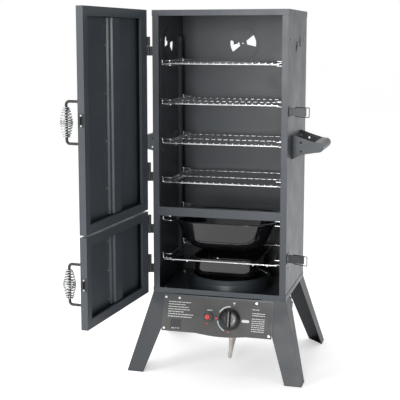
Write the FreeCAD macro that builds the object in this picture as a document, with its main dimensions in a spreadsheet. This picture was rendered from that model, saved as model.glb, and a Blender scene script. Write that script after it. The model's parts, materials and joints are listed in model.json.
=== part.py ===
"""Two-door gas cabinet smoker on splayed legs, as a parametric document.

Millimetres, +Z up, +X to the right of someone facing the doors, +Y to the back.
The origin lies on the ground, below the middle of the cabinet's front face.
The doors are drawn closed and then swung to their rest angle about the hinge pins.
"""
import FreeCAD, Part
import math
import os
import re

import Sketcher
from FreeCAD import Placement, Rotation, Vector

DIMENSIONS = [
    ("cabinet_width", 406, "outside, across the top and floor pans"),
    ("cabinet_depth", 310, "outside, front face to back face"),
    ("cabinet_height", 842, "top pan to floor pan"),
    ("leg_height", 230, "ground to the underside of the floor pan"),
    ("sheet", 1.2, "thickness of the cabinet's steel sheet"),
    ("stile_width", 20, "front and rear flanges of the side panels"),
    ("top_flange", 17, "turned edge of the top pan"),
    ("floor_flange", 15, "turned edge of the floor pan"),
    ("rail_low", 236, "underside of the middle rail above the floor pan"),
    ("rail_tall", 26, "height of the middle rail"),
    ("rail_deep", 15, "depth of the middle rail's flanges"),
    ("burner_hole", 115, "radius of the opening in the floor pan's raised collar"),
    ("collar_tall", 37.5, "height of that collar"),
    ("bead_round", 1.8, "radius of the collar's two rolled beads"),
    ("strip_front", 43, "centre of the front support strips behind the front face"),
    ("strip_rear", 262, "centre of the rear support strips"),
    ("strip_low", 69, "foot of the strips above the floor pan"),
    ("strip_long", 697, "length of the strips"),
    ("strip_deep", 10, "how far the strips stand off the wall"),
    ("level_low", 101, "lowest rack level above the floor pan"),
    ("level_pitch", 117, "distance between rack levels"),
    ("rack_half", 172, "half the width of a rack, to the side rod's centre"),
    ("rack_front", 14, "front bar of a rack behind the front face"),
    ("rack_long", 270, "front bar to back bar"),
    ("rod_radius", 2.3, "frame rod of the racks"),
    ("wire_radius", 1.5, "thin wires of the racks"),
    ("rail_half", 158, "half the distance between the wire rails"),
    ("rail_radius", 2, "wire of the rails"),
    ("bowl_deep", 96, "depth of the water bowl"),
    ("pan_deep", 63, "depth of the chip pan"),
    ("enamel", 1.6, "wall of the bowl and the pan"),
    ("leg_top_wide", 70, "leg flange at the top"),
    ("leg_foot_wide", 50, "leg flange at the ground"),
    ("leg_side_spread", 61, "how far a leg runs outwards"),
    ("leg_end_spread", 70, "how far a leg runs to the front or the back"),
    ("leg_sheet", 1.5, "thickness of the legs"),
    ("panel_half", 168, "half the width of the control panel"),
    ("panel_top", 2.5, "gap above the control panel, along its slope"),
    ("panel_tall", 110.5, "height of the control panel, along its slope"),
    ("plate_top", 8.5, "top of the label plate below the legs' upper end"),
    ("plate_half", 165, "half the width of the label plate"),
    ("plate_thick", 0.6, "label plate"),
    ("knob_across", 40, "knob right of the middle"),
    ("knob_down", 65, "knob below the panel's fold, along the slope"),
    ("knob_radius", 32, "control knob"),
    ("knob_tall", 24, "control knob from plate to face"),
    ("stem_radius", 4, "valve stem"),
    ("running_gap", 0.05, "radial clearance of pins and stems"),
    ("igniter_across", 25, "igniter left of the middle"),
    ("igniter_down", 63, "igniter below the panel's fold"),
    ("igniter_radius", 14, "bezel of the igniter"),
    ("bezel_tall", 9, "height of the igniter's bezel"),
    ("button_radius", 7.3, "igniter button"),
    ("door_thick", 19.3, "outer face to return flange"),
    ("door_gap", 0.5, "closed door in front of the cabinet"),
    ("door_lip", 25, "return flange at the free edge, the top and the bottom"),
    ("door_hinge_lip", 42, "return flange at the hinge side"),
    ("door_rim", 7, "how far the return flange's free edge is turned back"),
    ("upper_door_low", 253.5, "lower edge of the upper door above the floor pan"),
    ("lower_door_tall", 247.5, "height of the lower door"),
    ("door_angle", 94.4, "how far both doors stand open at rest"),
    ("pin_out", 10.5, "hinge pin outside the cabinet's side"),
    ("pin_radius", 2.5, "hinge pin"),
    ("knuckle_radius", 5, "hinge knuckle"),
    ("hinge_tall", 56, "hinge with both knuckles"),
    ("handle_reach", 46, "handle rod in front of the door"),
    ("handle_half", 55, "half the distance between the handle's arms"),
    ("handle_rod", 3.75, "radius of the handle rod"),
    ("grip_radius", 18, "spring grip at its widest"),
    ("grip_end_radius", 10, "spring grip at its ends"),
    ("grip_wall", 3, "wire of the spring grip"),
    ("upper_latch_high", 552, "upper latch above the floor pan"),
    ("lower_latch_high", 122, "lower latch above the floor pan"),
    ("damper_high", 744, "dampers above the floor pan"),
    ("damper_radius", 49.5, "damper disc"),
    ("vent_radius", 42, "outer radius of the vent sectors"),
    ("vent_hub", 12, "inner radius of the vent sectors"),
    ("vent_angle", 52, "angle of each vent sector"),
    ("vent_lean", 12.5, "how far the pair of vent sectors leans"),
    ("damper_sheet", 1.2, "thickness of a damper disc"),
    ("damper_gap", 0.4, "damper disc inside the wall"),
    ("tab_long", 14, "tab of a damper along its radius"),
    ("tab_wide", 13, "flat foot of the tab"),
    ("tab_tall", 12, "how far the tab stands into the cabinet"),
    ("screw_radius", 2, "shank of the sheet metal screws"),
    ("screw_head", 3.4, "radius of their heads"),
    ("screw_head_tall", 2.4, "height of their heads"),
    ("rivet_radius", 1.6, "pop rivets of the doors"),
    ("rivet_hole", 1.65, "their holes"),
    ("carry_front", 74, "front arm of a carry handle behind the front face"),
    ("carry_long", 160, "front arm to rear arm"),
    ("carry_low", 408, "foot of the carry handle above the floor pan"),
    ("hose_radius", 6.25, "gas hose"),
    ("burner_radius", 54, "burner head"),
]
ALIASES = {alias for alias, number, note in DIMENSIONS}

doc = FreeCAD.newDocument("CabinetSmoker")
sheet = doc.addObject("Spreadsheet::Sheet", "Dimensions")
for row, (alias, number, note) in enumerate(DIMENSIONS, start=1):
    sheet.set("A%d" % row, note)
    sheet.set("B%d" % row, str(number))
    sheet.setAlias("B%d" % row, alias)
doc.recompute()

SUBPARTS = []


def size(alias):
    """A dimension read from the sheet."""
    return float(getattr(sheet, alias))


def bind(item, target, formula):
    """Bind one property to a formula whose words are names in the sheet."""
    def full_name(match):
        word = match.group(0)
        return "Dimensions." + word if word in ALIASES else word
    item.setExpression(target, re.sub(r"[a-z]+(?:_[a-z]+)*", full_name, formula))


def keep(name, item):
    """Give a finished sub-part its label and remember it for the export."""
    item.Label = name
    SUBPARTS.append(item)
    return item


# Places that several sub-parts share.
HALF = size("cabinet_width") / 2
DEEP = size("cabinet_depth")
FLOOR = size("leg_height")
TOP = FLOOR + size("cabinet_height")
SHEET = size("sheet")
WALL = HALF - SHEET
INSIDE = WALL - SHEET
MIDDLE = DEEP / 2
LEVELS = [FLOOR + size("level_low") + size("level_pitch") * step for step in range(6)]
STRIP_PLACES = (size("strip_front"), size("strip_rear"))
PIN = Vector(-HALF - size("pin_out"), 0, 0)
CUT_SPARE = 1.0

# Support strips: half their width, half their web, and a rail's hook above its rack level.
STRIP_HALF = 16
STRIP_WEB_HALF = 9
HOOK_RISE = 12

# Long rods of the pan carrier: off the middle, and rod radii below the frame's own rods.
# Then the bowl's shift to the left.
CARRIER_HALF = 101
CARRIER_OUTER = 144
CARRIER_SAG = 1.2
BOWL_SHIFT = -3

# Control panel: half its upper fold, the knob's free gap, and the valve behind it.
FOLD_HALF = 128
KNOB_FREE = 5
VALVE_REACH = 47
INLET_START = (0, -10, -19)
INLET_LONG = 24

# Burner: its underside below the floor pan, its inlet tube, its housing and its electrode.
BURNER_LOW = -34
VENTURI_RADIUS = 9
HOUSING_SHEET = 2
ELECTRODE_FOOT = (109.5, 205)

# Doors, drawn closed: rivets across, then the stiffener's section from the skin inwards.
RIVET_LINE = 41
STIFFENER_PROFILE = [(-41, 0), (-26.5, 0), (-24.5, 12), (17.5, 12), (19.5, 6), (31.5, 6), (33.5, 0), (49, 0),
                     (49, 1), (34.5, 1), (32.5, 7), (20.5, 7), (18.5, 13), (-25.5, 13), (-27.5, 1), (-41, 1)]
STRIKE_SHEET = 1.5
STRIKE_LIP_Y = -11
LEAF = 1.5

# Latches, drawn latched: the lever's pivot, the bail's link, and how far both turn.
PIVOT_X = HALF + 5
PIVOT_Y = 22
LINK_X = PIVOT_X + 0.5
LINK_Y = PIVOT_Y + 12
LEVER_SWING = 90
BAIL_RATIO = -1.75
BAIL_RADIUS = 1.25

# Carry handles: sheet, and centre and radius of the rounded nose.
CARRY_SHEET = 1.5
NOSE_X = 78
NOSE_Z = 37
NOSE_ROUND = 14.5

# Dampers: where the tab starts, and the turn that lays each pair of openings on its side.
TAB_NEAR = 16
TAB_EDGE = -3
VENT_TURN = {"+x": 90 - size("vent_lean"), "-x": 90 - size("vent_lean"), "-y": size("vent_lean")}

TURNS = {
    "+z": Rotation(),
    "-z": Rotation(Vector(1, 0, 0), 180),
    "+x": Rotation(Vector(0, 1, 0), 90),
    "-x": Rotation(Vector(0, 1, 0), -90),
    "+y": Rotation(Vector(1, 0, 0), -90),
    "-y": Rotation(Vector(1, 0, 0), 90),
}


# ---------------------------------------------------------------- primitives

def box(name, formulas, corner):
    """A box with its three sizes bound to formulas and its low corner placed."""
    item = doc.addObject("Part::Box", name)
    for target, formula in zip(("Length", "Width", "Height"), formulas):
        bind(item, target, formula)
    item.Placement = Placement(Vector(*corner), Rotation())
    return item


def rod(name, radius, length, start, along, angle=None):
    """A cylinder, or a sector of one, that starts at a point and runs along an axis."""
    item = doc.addObject("Part::Cylinder", name)
    bind(item, "Radius", radius)
    bind(item, "Height", length)
    if angle:
        bind(item, "Angle", angle)
    item.Placement = Placement(Vector(*start), TURNS[along])
    return item


def fuse(name, pieces):
    item = doc.addObject("Part::MultiFuse", name)
    item.Shapes = pieces
    item.Refine = True
    return item


def cut(name, base, tools):
    item = doc.addObject("Part::Cut", name)
    item.Base = base
    item.Tool = tools[0] if len(tools) == 1 else fuse(name + "_tools", tools)
    return item


def group(name, pieces):
    """Separate solids that share one node."""
    item = doc.addObject("Part::Compound", name)
    item.Links = pieces
    return item


def wire_solid(name, strands, radius):
    """Bent round wire: each strand is a list of points and a bend radius."""
    item = doc.addObject("Part::Feature", name)
    solids = [swept(bent_path(points, bend), radius) for points, bend in strands]
    item.Shape = solids[0] if len(solids) == 1 else solids[0].multiFuse(solids[1:])
    return item


# ------------------------------------------------------------- bent wire paths

def corner_turn(points, index):
    """Directions into and out of a corner, and the angle between them."""
    inward = (points[index] - points[index - 1]).normalize()
    outward = (points[index + 1] - points[index]).normalize()
    return inward, outward, inward.getAngle(outward)


def bent_path(points, bends):
    """Straight runs joined by tangent arcs: one bend radius, or one for each corner."""
    points = [Vector(*point) for point in points]
    corners = len(points) - 2
    radii = bends if isinstance(bends, list) else [bends] * corners
    edges = []
    here = points[0]
    for index in range(1, corners + 1):
        inward, outward, turn = corner_turn(points, index)
        radius = radii[index - 1]
        back = radius * math.tan(turn / 2)
        enter = points[index] - inward * back
        leave = points[index] + outward * back
        inner = (outward - inward).normalize()
        centre = points[index] + inner * (radius / math.cos(turn / 2))
        middle = centre - inner * radius
        if (enter - here).Length > 1e-6:
            edges.append(Part.LineSegment(here, enter).toShape())
        edges.append(Part.Arc(enter, middle, leave).toShape())
        here = leave
    edges.append(Part.LineSegment(here, points[-1]).toShape())
    return Part.Wire(edges)


def swept(path, radius):
    """A round section carried along a path."""
    first = path.OrderedEdges[0]
    start = first.valueAt(first.FirstParameter)
    heading = first.tangentAt(first.FirstParameter)
    section = Part.Wire(Part.makeCircle(radius, start, heading))
    return path.makePipeShell([section], True, False)


# --------------------------------------------------------------- bodies

def origin_plane(body):
    """The body's own XY plane."""
    return next(item for item in body.Origin.OriginFeatures if item.Role == "XY_Plane")


def new_sketch(body, name, lift):
    sketch = body.newObject("Sketcher::SketchObject", name)
    sketch.AttachmentSupport = [(origin_plane(body), "")]
    sketch.MapMode = "FlatFace"
    bind(sketch, "AttachmentOffset.Base.z", lift)
    return sketch


def outline(body, name, corners, lift="0"):
    """A closed polygon whose corners are bound to pairs of formulas."""
    sketch = new_sketch(body, name, lift)
    count = len(corners)
    ring = [Vector(math.cos(2 * math.pi * step / count), math.sin(2 * math.pi * step / count), 0)
            for step in range(count)]
    for index in range(count):
        sketch.addGeometry(Part.LineSegment(ring[index], ring[(index + 1) % count]), False)
    for index in range(count):
        sketch.addConstraint(Sketcher.Constraint("Coincident", index, 2, (index + 1) % count, 1))
    for index, pair in enumerate(corners):
        for kind, formula in zip(("DistanceX", "DistanceY"), pair):
            number = sketch.addConstraint(Sketcher.Constraint(kind, -1, 1, index, 1, 1.0))
            bind(sketch, "Constraints[%d]" % number, formula)
    return sketch


def rectangle(body, name, left, low, right, high, lift="0"):
    return outline(body, name, [(left, low), (right, low), (right, high), (left, high)], lift)


def circle(body, name, radius, lift="0", centre=("0", "0")):
    sketch = new_sketch(body, name, lift)
    sketch.addGeometry(Part.Circle(Vector(0, 0, 0), Vector(0, 0, 1), 5), False)
    for kind, formula in zip(("DistanceX", "DistanceY"), centre):
        number = sketch.addConstraint(Sketcher.Constraint(kind, -1, 1, 0, 3, 1.0))
        bind(sketch, "Constraints[%d]" % number, formula)
    number = sketch.addConstraint(Sketcher.Constraint("Radius", 0, 5.0))
    bind(sketch, "Constraints[%d]" % number, radius)
    return sketch


def new_body(name):
    return doc.addObject("PartDesign::Body", name)


def pad(body, sketch, length):
    """Add material upwards from the sketch."""
    feature = body.newObject("PartDesign::Pad", sketch.Name + "_pad")
    feature.Profile = sketch
    bind(feature, "Length", length)
    doc.recompute()
    return feature


def pocket(body, sketch, length):
    """Remove material downwards from the sketch, and check that some went."""
    before = body.Tip.Shape.Volume
    feature = body.newObject("PartDesign::Pocket", sketch.Name + "_pocket")
    feature.Profile = sketch
    bind(feature, "Length", length)
    doc.recompute()
    if feature.Shape.Volume >= before:
        raise RuntimeError(sketch.Name + " removes nothing")
    return feature


def loft(body, sketches, kind="PartDesign::AdditiveLoft"):
    """Ruled walls between sketches at different heights."""
    feature = body.newObject(kind, sketches[0].Name + "_loft")
    feature.Profile = sketches[0]
    feature.Sections = sketches[1:]
    feature.Ruled = True
    doc.recompute()
    return feature


def revolve(body, sketch):
    """A full turn about the sketch's own vertical axis."""
    feature = body.newObject("PartDesign::Revolution", sketch.Name + "_turned")
    feature.Profile = sketch
    feature.ReferenceAxis = (sketch, ["V_Axis"])
    feature.Angle = 360
    doc.recompute()
    return feature


def upright_edges(feature):
    """Names of the straight edges that run along the body's Z."""
    names = []
    for index, edge in enumerate(feature.Shape.Edges, start=1):
        low, high = edge.Vertexes[0].Point, edge.Vertexes[-1].Point
        if abs(low.z - high.z) > 0.01 and math.hypot(low.x - high.x, low.y - high.y) < 0.01:
            names.append("Edge%d" % index)
    return names


def round_edges(body, names, radius):
    base = body.Tip
    feature = body.newObject("PartDesign::Fillet", body.Name + "_round")
    feature.Base = (base, names)
    bind(feature, "Radius", radius)
    doc.recompute()
    return feature


# ----------------------------------------------------------- screws and vents

# Each screw: where its head bears, which way its shank runs, and how long it is.
SCREWS = []


def screw_hole(name, start, along):
    """The clearance hole of one screw, long enough for every sheet below its head."""
    x, y, z = start
    step = TURNS[along].multVec(Vector(0, 0, 1))
    begin = (x - step.x, y - step.y, z - step.z)
    return rod(name, "screw_radius + running_gap", "strip_deep + 6", begin, along)


def screw(name, start, along, length):
    """Shank and rounded head of one sheet metal screw."""
    x, y, z = start
    step = TURNS[along].multVec(Vector(0, 0, 1))
    head_tall = size("screw_head_tall")
    crown = (x - step.x * head_tall, y - step.y * head_tall, z - step.z * head_tall)
    shank = rod(name + "_shank", "screw_radius", length, start, along)
    head = rod(name + "_head", "screw_head", "screw_head_tall", crown, along)
    return fuse(name, [shank, head])


def vent_sectors(name, centre, along, thick):
    """Two opposite sectors with an open bow-tie between hub and rim."""
    pieces = []
    for side in (0, 180):
        sector = rod(name + "_sector%d" % side, "vent_radius", thick, centre, along, "vent_angle")
        spin = Rotation(Vector(0, 0, 1), side - size("vent_angle") / 2 + VENT_TURN[along])
        sector.Placement = Placement(Vector(*centre), TURNS[along].multiply(spin))
        pieces.append(sector)
    hub = rod(name + "_hub", "vent_hub", thick, centre, along)
    return cut(name, fuse(name + "_pair", pieces), [hub])


def side_sign(name):
    return -1 if name.startswith("left") else 1


def side_screws(sign):
    """Screws that enter one side wall from outside: strips, then carry handle."""
    inward = "-x" if sign > 0 else "+x"
    places = []
    for depth in STRIP_PLACES:
        for height in (FLOOR + size("strip_low") + 18, FLOOR + size("strip_low") + size("strip_long") - 10):
            places.append(((sign * WALL, depth, height), inward, "strip_deep + 3"))
    for depth in (size("carry_front") + 9, size("carry_front") + size("carry_long") - 9):
        for height in (FLOOR + size("carry_low") + 14, FLOOR + size("carry_low") + 58):
            places.append(((sign * (WALL + CARRY_SHEET), depth, height), inward, "6"))
    places.append(((sign * WALL, MIDDLE, FLOOR + size("damper_high")), inward, "6"))
    return places


# ------------------------------------------------------------- cabinet shell

def side_panel(name):
    """Wall with a turned stile at the front and a flange at the back."""
    sign = side_sign(name)
    low_x = WALL - SHEET if sign > 0 else -WALL
    stile_x = HALF - size("stile_width") if sign > 0 else -WALL
    wall_tall = "cabinet_height - 2 * sheet"
    edge_tall = "cabinet_height - top_flange - floor_flange"
    edge_low = FLOOR + size("floor_flange")
    pieces = [
        box(name + "_wall", ("sheet", "cabinet_depth - 2 * sheet", wall_tall),
            (low_x, SHEET, FLOOR + SHEET)),
        box(name + "_stile", ("stile_width - sheet", "sheet", edge_tall), (stile_x, 0, edge_low)),
        box(name + "_rear", ("stile_width - sheet", "sheet", edge_tall), (stile_x, DEEP - SHEET, edge_low)),
    ]
    holes = [screw_hole(name + "_hole%d" % index, start, along)
             for index, (start, along, length) in enumerate(side_screws(sign))]
    inward = "-x" if sign > 0 else "+x"
    vent_start = (sign * (WALL + CUT_SPARE), MIDDLE, FLOOR + size("damper_high"))
    holes.append(vent_sectors(name + "_vent", vent_start, inward, "sheet + 2"))
    keep(name, cut(name, fuse(name + "_sheet", pieces), holes))
    SCREWS.extend(side_screws(sign))


def back_panel():
    """Flat sheet inside the side panels' rear flanges, with the rear vent."""
    name = "back_panel"
    plate = box(name + "_plate", ("cabinet_width - 4 * sheet", "sheet", "cabinet_height - 2 * sheet"),
                (-INSIDE, DEEP - 2 * SHEET, FLOOR + SHEET))
    centre_z = FLOOR + size("damper_high")
    vent = vent_sectors(name + "_vent", (0, DEEP, centre_z), "-y", "3 * sheet")
    start = (0, DEEP - SHEET, centre_z)
    hole = screw_hole(name + "_hole", start, "-y")
    keep(name, cut(name, plate, [vent, hole]))
    SCREWS.append((start, "-y", "6"))


def pan_sheet(name, plate_low, flange_low, flange):
    """A flat plate with its four edges turned up or down."""
    wide, deep = "cabinet_width", "cabinet_depth"
    return [
        box(name + "_plate", (wide, deep, "sheet"), (-HALF, 0, plate_low)),
        box(name + "_front", (wide, "sheet", flange), (-HALF, 0, flange_low)),
        box(name + "_back", (wide, "sheet", flange), (-HALF, DEEP - SHEET, flange_low)),
        box(name + "_left", ("sheet", deep, flange), (-HALF, 0, flange_low)),
        box(name + "_right", ("sheet", deep, flange), (HALF - SHEET, 0, flange_low)),
    ]


def top_panel():
    name = "top_panel"
    pieces = pan_sheet(name, TOP - SHEET, TOP - size("top_flange"), "top_flange")
    keep(name, fuse(name, pieces))


def floor_pan():
    """Floor with turned-up edges and a raised collar around the burner opening."""
    name = "floor_pan"
    flat = fuse(name + "_flat", pan_sheet(name, FLOOR, FLOOR, "floor_flange"))
    tools = [rod(name + "_hole", "burner_hole + 14", "sheet + 8", (0, MIDDLE, FLOOR - 4), "+z")]
    for index, (x, y) in enumerate(leg_bolt_places()):
        tools.append(rod(name + "_bolt%d" % index, "3.05", "8", (x, y, FLOOR - 4), "+z"))
    collar = new_body(name + "_collar")
    profile = [("burner_hole + 12.6", "0"), ("burner_hole + 18.5", "0"), ("burner_hole + 18.5", "sheet"),
               ("burner_hole + 14.2", "sheet"), ("burner_hole + 9.8", "collar_tall - 11.5"),
               ("burner_hole + 5.8", "collar_tall - 5"), ("burner_hole + 2", "collar_tall"),
               ("burner_hole", "collar_tall"), ("burner_hole", "collar_tall - sheet"),
               ("burner_hole + 1.2", "collar_tall - sheet"), ("burner_hole + 4.4", "collar_tall - 5.6"),
               ("burner_hole + 8.4", "collar_tall - 12")]
    revolve(collar, outline(collar, name + "_collar_profile", profile))
    collar.Placement = Placement(Vector(0, MIDDLE, FLOOR), TURNS["-y"])
    pieces = [cut(name + "_drilled", flat, tools), collar]
    for label, reach, below in (("lip", 5, 5), ("foot", 9, 11.6)):
        bead = doc.addObject("Part::Torus", "%s_%s_bead" % (name, label))
        bind(bead, "Radius1", "burner_hole + %s" % reach)
        bind(bead, "Radius2", "bead_round")
        bead.Placement = Placement(Vector(0, MIDDLE, FLOOR + size("collar_tall") - below), Rotation())
        pieces.append(bead)
    keep(name, fuse(name, pieces))


def middle_rail():
    """Channel between the two door openings, with tabs behind the stiles."""
    name = "middle_rail"
    low = FLOOR + size("rail_low")
    high = low + size("rail_tall") - SHEET
    inner = HALF - size("stile_width")
    clear = "cabinet_width - 2 * stile_width"
    pieces = [
        box(name + "_face", (clear, "sheet", "rail_tall"), (-inner, 0, low)),
        box(name + "_low", (clear, "rail_deep", "sheet"), (-inner, 0, low)),
        box(name + "_high", (clear, "rail_deep", "sheet"), (-inner, 0, high)),
    ]
    for label, left in (("left", -INSIDE), ("right", inner - 5)):
        pieces.append(box(name + "_tab_" + label, ("stile_width + 5 - 2 * sheet", "sheet", "rail_tall - 4"),
                          (left, SHEET, low + 2)))
    keep(name, fuse(name, pieces))


# ------------------------------------------------------- strips, rails, racks

def support_strips():
    """Four hat channels on the side walls, slotted at each rack level."""
    strips = []
    for sign in (-1, 1):
        for depth in STRIP_PLACES:
            name = "strip%d" % len(strips)
            body = new_body(name)
            inner = STRIP_WEB_HALF - SHEET
            corners = [(-STRIP_HALF, 0), (-inner, 0), (-inner, "strip_deep - sheet"),
                       (inner, "strip_deep - sheet"), (inner, 0), (STRIP_HALF, 0), (STRIP_HALF, "sheet"),
                       (STRIP_WEB_HALF, "sheet"), (STRIP_WEB_HALF, "strip_deep"),
                       (-STRIP_WEB_HALF, "strip_deep"), (-STRIP_WEB_HALF, "sheet"), (-STRIP_HALF, "sheet")]
            profile = outline(body, name + "_profile", [(str(x), str(y)) for x, y in corners])
            pad(body, profile, "strip_long")
            turn = Rotation(Vector(0, 0, 1), 90 if sign > 0 else -90)
            body.Placement = Placement(Vector(sign * INSIDE, depth, FLOOR + size("strip_low")), turn)
            tools = []
            for number, level in enumerate(LEVELS):
                tools.append(box("%s_slot%d" % (name, number), ("strip_deep", "6", "9"),
                                 (sign * (INSIDE - 6) - 5, depth - 3, level + HOOK_RISE - 4.5)))
            for number, (start, along, length) in enumerate(side_screws(sign)):
                if start[1] == depth:
                    tools.append(screw_hole("%s_hole%d" % (name, number), start, along))
            strips.append(cut(name + "_slotted", body, tools))
    keep("support_strips", group("support_strips", strips))


def rail_wires():
    """Two-wire rails, hooked into the strips, that a rack slides between."""
    front, rear = STRIP_PLACES
    hook = INSIDE - 4.4
    drop = INSIDE - size("strip_deep") - 5.5
    inner = size("rail_half")
    rails = []
    for sign in (-1, 1):
        for number, level in enumerate(LEVELS):
            low = level - size("rod_radius") - size("rail_radius") - 0.5
            high = level + HOOK_RISE
            main = [(hook, front, high + 12), (hook, front, high), (drop, front, high), (drop, front, low),
                    (inner, front, low), (inner, rear, low), (drop, rear, low), (drop, rear, high),
                    (hook, rear, high), (hook, rear, high + 12)]
            guard = [(drop, front, level + 9), (inner, front, level + 9),
                     (inner, rear, level + 9), (drop, rear, level + 9)]
            strands = []
            for points, bend in ((main, 4), (guard, 5)):
                strands.append(([(sign * x, y, z) for x, y, z in points], bend))
            rails.append(wire_solid("rail%d_%d" % (sign + 1, number), strands, size("rail_radius")))
    keep("rail_wires", group("rail_wires", rails))


def rod_frame(name, level, depths):
    """Rods across at several depths, joined at both ends by a side rod with round corners."""
    half = size("rack_half")
    front, back = depths[0], depths[-1]
    pieces = [rod("%s_across%d" % (name, index), "rod_radius", "2 * rack_half", (-half, depth, level), "+x")
              for index, depth in enumerate(depths)]
    for sign in (-1, 1):
        pieces.append(rod("%s_side%d" % (name, sign + 1), "rod_radius", "rack_long",
                          (sign * half, front, level), "+y"))
        for label, depth in (("front", front), ("back", back)):
            ball = doc.addObject("Part::Sphere", "%s_%s_ball%d" % (name, label, sign + 1))
            bind(ball, "Radius", "rod_radius")
            ball.Placement = Placement(Vector(sign * half, depth, level), Rotation())
            pieces.append(ball)
    return pieces


def cooking_rack(name, level):
    """Rod frame with a middle bar and thin wires welded along it."""
    front, half, long = size("rack_front"), size("rack_half"), size("rack_long")
    pieces = rod_frame(name, level, (front, front + long / 2, front + long))
    wires = 17
    rise = size("rod_radius") + size("wire_radius") - 0.6
    for index in range(wires):
        across = -half + 2 * half * (index + 1) / (wires + 1)
        pieces.append(rod("%s_wire%d" % (name, index), "wire_radius", "rack_long + 3",
                          (across, front - 1.5, level + rise), "+y"))
    keep(name, fuse(name, pieces))


def pan_carrier():
    """Open rod frame on the lowest level that the chip pan hangs in."""
    name = "pan_carrier"
    level, front = LEVELS[0], size("rack_front")
    pieces = rod_frame(name, level, (front, front + size("rack_long")))
    for index, across in enumerate((-CARRIER_OUTER, -CARRIER_HALF, CARRIER_HALF, CARRIER_OUTER)):
        pieces.append(rod("%s_long%d" % (name, index), "rod_radius", "rack_long + 2",
                          (across, front - 1, level - CARRIER_SAG * size("rod_radius")), "+y"))
    keep(name, fuse(name, pieces))


def rounded_ring(body, name, half_wide, half_deep, corner, lift):
    """Rectangle with each corner cut by five chords of a quarter circle."""
    chords = 5
    corners = []
    for across, along, first in ((1, 1, 0), (-1, 1, 90), (-1, -1, 180), (1, -1, 270)):
        for step in range(chords + 1):
            angle = math.radians(first + 90 * step / chords)
            x = across * (half_wide - corner) + corner * math.cos(angle)
            y = along * (half_deep - corner) + corner * math.sin(angle)
            corners.append(("%.4f" % x, "%.4f" % y))
    return outline(body, name, corners, lift)


def hung_vessel(name, deep, rim, mouth, base, lip_shape):
    """An open pan: tapered wall, flat floor and a flat lip around the mouth."""
    body = new_body(name)
    wall = size("enamel")
    outer = [rounded_ring(body, name + "_mouth", *mouth, lift=deep),
             rounded_ring(body, name + "_base", *base, lift="0")]
    loft(body, outer)
    pad(body, rounded_ring(body, name + "_lip", *lip_shape, lift=deep + " - " + rim), rim)
    inner_mouth = [part - wall for part in mouth]
    inner_base = [part - wall for part in base]
    inside = [rounded_ring(body, name + "_inner_mouth", *inner_mouth, lift=deep + " + 0.2"),
              rounded_ring(body, name + "_inner_base", *inner_base, lift="enamel")]
    loft(body, inside, "PartDesign::SubtractiveLoft")
    return keep(name, body)


def water_bowl():
    """Wide bowl whose lip slides on the wire rails."""
    level = LEVELS[1]
    lip_low = level - size("rod_radius") - 0.2
    body = hung_vessel("water_bowl", "bowl_deep", "enamel", (152, 132, 75), (118, 98, 60), (171, 142, 85))
    foot = lip_low - size("bowl_deep") + size("enamel")
    body.Placement = Placement(Vector(BOWL_SHIFT, MIDDLE - 4, foot), Rotation())


def chip_pan():
    """Deep pan for the wood chips, hung by its rim in the carrier."""
    lip_low = LEVELS[0] - (CARRIER_SAG - 1) * size("rod_radius") + 0.1
    body = hung_vessel("chip_pan", "pan_deep", "enamel", (95, 95, 34), (92, 92, 30), (107, 104, 40))
    foot = lip_low - size("pan_deep") + size("enamel")
    body.Placement = Placement(Vector(0, MIDDLE - 10, foot), Rotation())


# ------------------------------------------------------------------ legs

LEG_CORNERS = (("front_left", -1, -1), ("front_right", 1, -1), ("rear_left", -1, 1), ("rear_right", 1, 1))


def leg_bolt_places():
    """Two bolts through each leg's top tab."""
    places = []
    for label, side, end in LEG_CORNERS:
        edge = 0 if end < 0 else DEEP
        places.append((side * (HALF - 52), edge - end * 22))
        places.append((side * (HALF - 22), edge - end * 52))
    return places


def leg_section(body, name, wide, x, y, side, end, lift):
    """L section whose outer corner lies at x, y, with flanges that point inwards."""
    steps = [("0", "0"), (wide, "0"), (wide, "leg_sheet"), ("leg_sheet", "leg_sheet"), ("leg_sheet", wide),
             ("0", wide)]
    corners = []
    for across, along in steps:
        corners.append(("%s - (%d) * (%s)" % (x, side, across), "%s - (%d) * (%s)" % (y, end, along)))
    return outline(body, name, corners, lift)


def leg(label, side, end):
    """Tapered L leg with a tab under the floor pan and a foot plate."""
    name = "leg_" + label
    body = new_body(name + "_blank")
    edge = "0" if end < 0 else "cabinet_depth"
    top_x = "%d * cabinet_width / 2" % side
    foot_x = "%d * (cabinet_width / 2 + leg_side_spread)" % side
    foot_y = "%s + %d * leg_end_spread" % (edge, end)
    sections = [leg_section(body, name + "_top", "leg_top_wide", top_x, edge, side, end, "leg_height"),
                leg_section(body, name + "_foot", "leg_foot_wide", foot_x, foot_y, side, end, "0")]
    loft(body, sections)
    tab_x = "%d * (cabinet_width / 2 - leg_top_wide)" % side
    tab_y = "%s - %d * leg_top_wide" % (edge, end)
    tab = [(top_x, edge), (tab_x, edge), (tab_x, "%s - %d * 12" % (edge, end)),
           ("%d * (cabinet_width / 2 - 12)" % side, tab_y), (top_x, tab_y)]
    pad(body, outline(body, name + "_tab", tab, "leg_height - leg_sheet"), "leg_sheet")
    plate = [(foot_x, foot_y), ("%s - %d * leg_foot_wide" % (foot_x, side), foot_y),
             (foot_x, "%s - (%d) * leg_foot_wide" % (foot_y, end))]
    pad(body, outline(body, name + "_plate", plate, "0"), "leg_sheet")
    tools = []
    for index, (x, y) in enumerate(leg_bolt_places()):
        if x * side > 0 and (y - MIDDLE) * end > 0:
            tools.append(rod("%s_bolt%d" % (name, index), "3.05", "8", (x, y, FLOOR - 4), "+z"))
    for index, (across, down) in enumerate(panel_screw_places()):
        if across * side > 0 and end < 0:
            tool = rod("%s_screw%d" % (name, index), "screw_radius + running_gap", "12", (0, 0, 0), "+z")
            tool.Placement = on_slope(across, down, -8)
            tools.append(tool)
    keep(name, cut(name + "_drilled", body, tools))


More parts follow.
